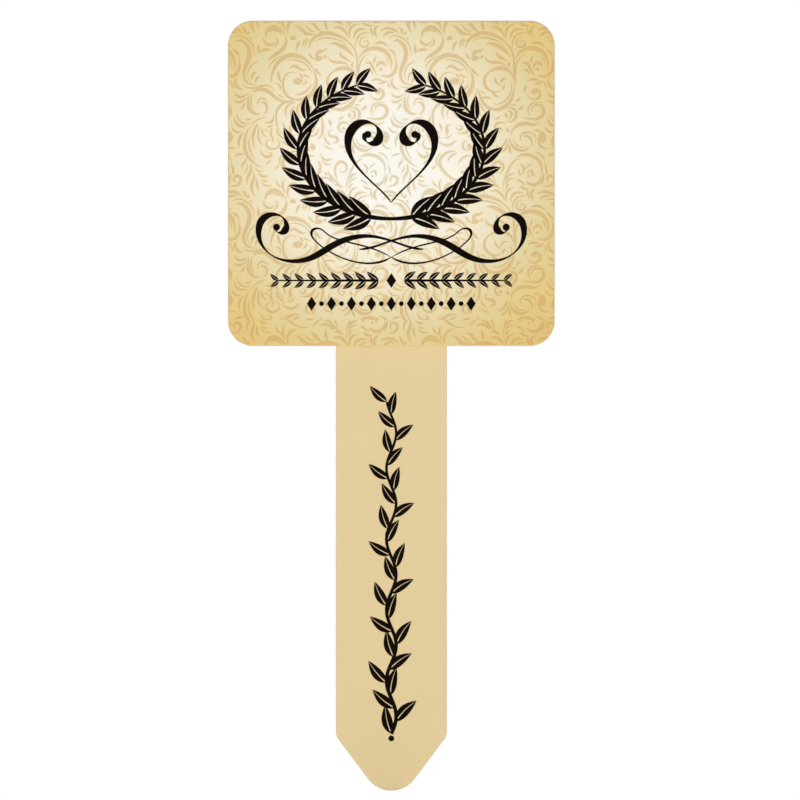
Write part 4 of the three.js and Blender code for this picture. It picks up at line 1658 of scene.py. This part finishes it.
@dataclass
class WreathEmblem:
    """The head's black ornament about its middle: a laurel wreath, pen flourishes and two rows below."""

    laurel: LeafSpray = LeafSpray(half=(0.7, 0.25), leaf=(9.6, 7.0), spacing=4.8, spread=33)
    laurel_radii: Pair = (29.0, 21.5)
    laurel_rise: float = 10.5
    laurel_span: Pair = (-104, 68)
    laurel_points: int = 60
    bare_points: int = 10
    bare_half: Pair = (0.35, 0.7)
    heart_weight: float = 1.3
    hair_weight: float = 0.25
    blot_radius: float = 1.1
    row: LeafSpray = LeafSpray(half=(0.4, 0.2), leaf=(4.6, 3.4), spacing=3.6, spread=38)
    row_span: Pair = (4, 35)
    row_level: float = -30.2
    row_points: int = 40
    row_diamond: Pair = (1.5, 2.3)
    chain_level: float = -37.4
    chain_pitch: float = 3.1
    chain_reach: int = 8
    chain_diamond: Pair = (1.45, 2.2)
    pearl_radius: float = 0.75

    def draw(self, ornament: LeafOrnament) -> None:
        """Draws the whole emblem.

        Args:
            ornament: the ornament that gets it.
        """
        self.wreath(ornament)
        self.flourishes(ornament)
        self.rows(ornament)

    def wreath(self, ornament: LeafOrnament) -> None:
        """Draws two laurel branches that cross at the foot, where they are bare, and stay open at the top.

        Args:
            ornament: the ornament that gets them.
        """
        turn = np.radians(np.linspace(*self.laurel_span, self.laurel_points))
        wide, tall = self.laurel_radii
        branch = np.stack([wide * np.cos(turn), self.laurel_rise + tall * np.sin(turn)], axis=1)
        bare = self.bare_points
        for side in (1, -1):
            line = branch * (side, 1)
            ornament.strokes.append(Stroke(line[:bare], np.linspace(*self.bare_half, bare)))
            ornament.branch(line[bare - 1:], self.laurel)

    def flourishes(self, ornament: LeafOrnament) -> None:
        """Draws pen flourishes: a scrolled heart inside the wreath and long swashes below it.

        Args:
            ornament: the ornament that gets them.
        """
        pen = BroadNib()
        halves = [
            pen.stroke([(0, -6), (3, -1), (13.5, 4.5), (13.5, 12.5), (13.5, 18), (8.6, 20.6), (5.2, 18.2),
                        (2.6, 16.2), (3.4, 12.2), (6.4, 12.4), (8.3, 12.6), (8.9, 14.6), (7.9, 15.6)],
                       self.heart_weight),
            dot((7.3, 15.2), self.blot_radius),
            pen.stroke([(-10, -20.5), (-4, -20.5), (2, -15.5), (10, -16.5), (20, -17.8), (22, -24.5),
                        (31, -24.2), (38, -24), (42.5, -18.5), (41, -13), (39.8, -8.5), (33, -8.5),
                        (32.6, -13), (32.4, -15.5), (35.6, -16.3), (36.2, -14)]),
            dot((35.7, -13.6), self.blot_radius),
            pen.stroke([(0, -23), (8, -28), (20, -22), (24, -17.5), (26.5, -14.5), (23, -12.8), (20.8, -15),
                        (17, -19), (8, -18), (0, -23)], self.hair_weight)]
        for half in halves:
            ornament.strokes += [half, half.mirrored()]

    def rows(self, ornament: LeafOrnament) -> None:
        """Draws a leafy row, broken by a diamond, and a chain of diamonds and pearls.

        Args:
            ornament: the ornament that gets them.
        """
        x = np.linspace(*self.row_span, self.row_points)
        level = np.full(self.row_points, self.row_level)
        for side in (1, -1):
            ornament.branch(np.stack([side * x, level], axis=1), self.row)
        ornament.strokes.append(diamond((0, self.row_level), *self.row_diamond))
        for step in range(-self.chain_reach, self.chain_reach + 1):
            middle = (self.chain_pitch * step, self.chain_level)
            ornament.strokes.append(
                dot(middle, self.pearl_radius) if step % 2 else diamond(middle, *self.chain_diamond))


@dataclass
class HeadPanel:
    """The square head: a round-cornered plate with a printed film on its front."""

    corner_radius: float = 7.8
    edge_radius: float = 0.3
    film_edge: float = 0.03
    film_edge_steps: int = 2
    glow_offset: Pair = (-2.6, 5.3)
    halo: float = 0.45
    rim: float = 0.13
    least_core: float = 0.8
    splice: float = 8.1
    left_out: float = 5.13
    splice_gap: float = 0.02
    repeats: int = 3

    def __post_init__(self) -> None:
        """Reads the plate's and the film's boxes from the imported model."""
        plate = NodeBox.read("head_plate")
        self.width, self.thickness, self.height = plate.size
        self.middle = plate.middle
        self.front = plate.low[1]
        film = NodeBox.read("face_film")
        self.film_width, self.film_thickness, self.film_height = film.size
        self.film_front = film.low[1]

    def film_outline(self) -> Loop:
        """The film's outline, a little inside the plate's."""
        inset = (self.width - self.film_width) / 2
        return rounded_rectangle(self.middle, self.film_width, self.film_height, self.corner_radius - inset)

    def print_colour(self, name: str, *stops: tuple[float, str]) -> Material:
        """A print colour that follows the head's glow.

        Args:
            name: the material's name.
            *stops: distances from the glow's middle in millimetres, with the colour there.

        Returns:
            The material.
        """
        centre = (self.middle[0] + self.glow_offset[0], self.middle[1] + self.glow_offset[1])
        return GlowPrint(name, stops, centre).material()

    def build(self, joint: LapJoint, coat: Material) -> None:
        """Builds the drilled plate and the film on it.

        Args:
            joint: the rivets that pass through it.
            coat: the plate's finish.
        """
        rim = rounded_rectangle(self.middle, self.width, self.height, self.corner_radius)
        outlines = [(rim, rolled_edge(self.thickness, self.edge_radius))]
        outlines += [joint.hole(centre, joint.countersunk(self.thickness)) for centre in joint.centres]
        piece("head_panel", plate_mesh("head_panel", outlines, self.front), coat, Slot.COAT, "head_plate")
        ground = self.print_colour(
            "vinyl_film_glow_ground", (0, "#FAF8EC"), (15, "#FAF6EE"), (25, "#F7F0DF"), (36, "#EEE5C8"),
            (45, "#E6DAB3"), (54, "#E1D099"), (63, "#E0C987"), (74, "#DEC280"))
        edge = rolled_edge(self.film_thickness, self.film_edge, self.film_edge_steps)
        film = plate_mesh("printed_face", [(self.film_outline(), edge)], self.film_front)
        piece("printed_face", film, ground, Slot.PRINT, "face_film", "clear_laminate")

    def scrollwork(self, rig: NodeRig, tile: ScrollTile) -> None:
        """Prints the scrollwork in three inks: a warm halo, olive lines and a peach core in the broad ones.

        A strip of the repeat is left out above the head's lower edge, as it is on the photographed head.

        Args:
            rig: the tree that repeats a cell.
            tile: the scrollwork's cell.
        """
        left, foot = self.middle[0] - self.width / 2, self.middle[1] - self.height / 2
        # The repeats start at the head's left edge and one row below its foot, which the splice draws on.
        across, up = self.repeats / 2 * tile.width, (self.repeats / 2 - 1) * tile.height
        shift = ((left + across) * MM, (foot + up) * MM, 0.0)
        inks = (
            ("scroll_light_ink", InkLayer.LIGHT, tile.cell("scroll_halo", self.halo), self.print_colour(
                "cream_solvent_ink", (0, "#FBF9EE"), (25, "#F8EAD1"), (36, "#F1E0B9"), (45, "#E9D6A6"),
                (54, "#E4CC92"), (63, "#E3C782"), (74, "#E2C17A"))),
            ("scroll_edge_ink", InkLayer.EDGE, tile.cell("scroll_lines"), self.print_colour(
                "olive_solvent_ink", (0, "#DED7C1"), (25, "#DBCEAB"), (36, "#D7C59A"), (45, "#D1BC8C"),
                (54, "#CFB57C"), (63, "#D2B26F"), (74, "#CFAD68"))),
            ("scroll_tan_ink", InkLayer.TAN, tile.cell("scroll_cores", -self.rim, self.least_core),
             self.print_colour(
                "peach_solvent_ink", (0, "#E4D7BA"), (25, "#E3CEA8"), (36, "#DFC697"), (45, "#D9BE8A"),
                (54, "#DABA7D"), (63, "#D9B472"), (74, "#D8AE69"))))
        for name, layer, cell, ink in inks:
            mesh = rig.run(cell, {
                "Columns": self.repeats, "Rows": self.repeats, "Pitch X": tile.width * MM,
                "Pitch Y": tile.height * MM, "Shift": shift, "Material": ink})
            flat = np.array([(v.co.x, v.co.y) for v in mesh.vertices]) / MM
            region = self.spliced(flat, np.array([face.vertices for face in mesh.polygons]))
            piece(name, region_mesh(name, region, self.film_front, layer), ink, Slot.PRINT)

    def spliced(self, points: Loop, faces: np.ndarray) -> Region:
        """Cuts the repeats to the film and moves those below the splice up over the strip that is left out.

        Args:
            points: the points of the repeats.
            faces: their triangles.

        Returns:
            The print's region.
        """
        seam = self.middle[1] - self.height / 2 + self.splice
        film = [tuple(point) for point in self.film_outline()]
        above = cut_ring(film, np.array((0.0, seam + self.splice_gap / 2)), np.array((1.0, 0.0)))
        below = cut_ring(film, np.array((0.0, seam - self.splice_gap / 2)), np.array((-1.0, 0.0)))
        upper, upper_faces = clipped_region((points, faces), np.array(above))
        lower, lower_faces = clipped_region((points + (0.0, self.left_out), faces), np.array(below))
        return np.concatenate([upper, lower]), np.concatenate([upper_faces, lower_faces + len(upper)])

    def decorate(self, rig: NodeRig, leaf: Object, ink: Material) -> None:
        """Prints the black emblem.

        Args:
            rig: the tree that sets leaves along a branch.
            leaf: the leaf to set.
            ink: the ink's material.
        """
        ornament = LeafOrnament("emblem", self.film_front, self.film_outline(), self.middle)
        WreathEmblem().draw(ornament)
        ornament.print_on(rig, leaf, ink)


# Studio


@dataclass(frozen=True)
class Softbox:
    """A square lamp: its place and width in metres and its power in watts."""

    place: tuple[float, float, float]
    width: float
    power: float


@dataclass
class Studio:
    """A plain white studio: a straight-on camera, soft lamps, white surroundings and a pale floor."""

    view_width: float = 248.7 * MM
    view_centre: Pair = (2.7 * MM, 121.4 * MM)
    camera_distance: float = 0.6
    sky_level: float = 0.2
    floor_size: float = 3.2
    floor_fade: Pair = (0.12, 0.48)
    floor_drop: float = 0.4 * MM
    floor_colour: str = "#F4F3F1"
    floor_roughness: float = 0.9
    floor_specular: float = 0.1
    lamps: tuple[Softbox, ...] = (
        Softbox((-0.6, -1.1, 0.11), 0.2, 6.9), Softbox((0.75, -1.0, 0.11), 0.2, 4.5),
        Softbox((0.2, 0.9, 0.9), 0.8, 12.0))

    def camera(self) -> None:
        """Sets an orthographic camera square to the head, because the photograph shows no perspective."""
        data = bpy.data.cameras.new("camera")
        data.type = "ORTHO"
        data.ortho_scale = self.view_width
        camera = new_object("camera", data)
        camera.location = (self.view_centre[0], -self.camera_distance, self.view_centre[1])
        camera.rotation_euler = (math.pi / 2, 0.0, 0.0)
        bpy.context.scene.camera = camera

    def light(self) -> None:
        """Sets the lamps, each aimed at the stake's middle."""
        for number, softbox in enumerate(self.lamps, 1):
            data = bpy.data.lights.new(f"softbox_{number}", "AREA")
            data.size = softbox.width
            data.energy = softbox.power
            lamp = new_object(data.name, data)
            lamp.location = softbox.place
            aim = Vector((0.0, 0.0, self.view_centre[1])) - Vector(softbox.place)
            lamp.rotation_euler = aim.to_track_quat("-Z", "Y").to_euler()

    def seen(self, tree: NodeTree) -> NodeSocket:
        """A value of 1 for rays from the camera or off a shiny or clear surface, and 0 for others.

        Args:
            tree: the tree that reads it.

        Returns:
            The value's socket.
        """
        path = add_node(tree, "ShaderNodeLightPath").outputs
        shiny = add_node(tree, "ShaderNodeMath", {"operation": "MAXIMUM"}, {
            0: path["Is Camera Ray"], 1: path["Is Glossy Ray"]})
        return add_node(tree, "ShaderNodeMath", {"operation": "MAXIMUM"}, {
            0: shiny.outputs["Value"], 1: path["Is Transmission Ray"]}).outputs["Value"]

    def sky(self) -> None:
        """Sets white surroundings that look white but light the stake at a lower level."""
        world = bpy.data.worlds.new("white_studio")
        world.use_nodes = True
        tree = world.node_tree
        tree.nodes.clear()
        level = add_node(tree, "ShaderNodeMapRange", inputs={
            "Value": self.seen(tree), "To Min": self.sky_level, "To Max": 1.0})
        white = add_node(tree, "ShaderNodeBackground", inputs={
            "Color": (1.0, 1.0, 1.0, 1.0), "Strength": level.outputs["Result"]})
        add_node(tree, "ShaderNodeOutputWorld", inputs={"Surface": white.outputs["Background"]})
        bpy.context.scene.world = world

    def floor(self) -> None:
        """Lays a pale floor under the tip, which fades to white away from the stake."""
        half = self.floor_size / 2
        corners = [(x * half, y * half, -self.floor_drop) for x, y in ((-1, -1), (1, -1), (1, 1), (-1, 1))]
        mesh = new_mesh("floor", corners, [(0, 1, 2, 3)])
        material, tree, shader, place = new_material("matt_studio_paper")
        wire(shader, {
            "Base Color": linear(self.floor_colour), "Roughness": self.floor_roughness,
            "Specular IOR Level": self.floor_specular})
        far = add_node(tree, "ShaderNodeVectorMath", {"operation": "LENGTH"}, {0: place})
        fade = add_node(tree, "ShaderNodeMapRange", {"interpolation_type": "SMOOTHSTEP"}, {
            "Value": far.outputs["Value"], "From Min": self.floor_fade[0], "From Max": self.floor_fade[1]})
        glow = add_node(tree, "ShaderNodeEmission", inputs={"Strength": 1.0})
        share = add_node(tree, "ShaderNodeMath", {"operation": "MULTIPLY"}, {
            0: fade.outputs["Result"], 1: self.seen(tree)})
        mixed = add_node(tree, "ShaderNodeMixShader", inputs={
            "Fac": share.outputs["Value"], 1: shader.outputs["BSDF"], 2: glow.outputs["Emission"]})
        output = next(node for node in tree.nodes if node.type == "OUTPUT_MATERIAL")
        wire(output, {"Surface": mixed.outputs["Shader"]})
        mesh.materials.append(material)
        floor = new_object("floor", mesh)

    def build(self) -> None:
        """Sets up the whole studio."""
        bpy.context.scene.view_settings.view_transform = "Standard"
        self.camera()
        self.light()
        self.sky()
        self.floor()


def main() -> None:
    """Builds the studio and every piece in order."""
    logging.basicConfig(level=logging.INFO, format="%(name)s %(message)s")
    Studio().build()
    coat = PowderCoat().material()
    ink = BlackInk().material()
    joint = LapJoint()
    joint.strips(FoamTape().material())
    joint.rivets(rivet_rig(), RivetMetal().material())
    spray = spray_rig()
    leaf = LeafTemplate().build()
    blade = StakeBlade()
    blade.build(joint, coat)
    blade.decorate(spray, leaf, ink)
    head = HeadPanel()
    head.build(joint, coat)
    head.scrollwork(repeat_rig(), ScrollTile())
    head.decorate(spray, leaf, ink)
    bpy.data.objects.remove(leaf)


if __name__ == "__main__":
    main()
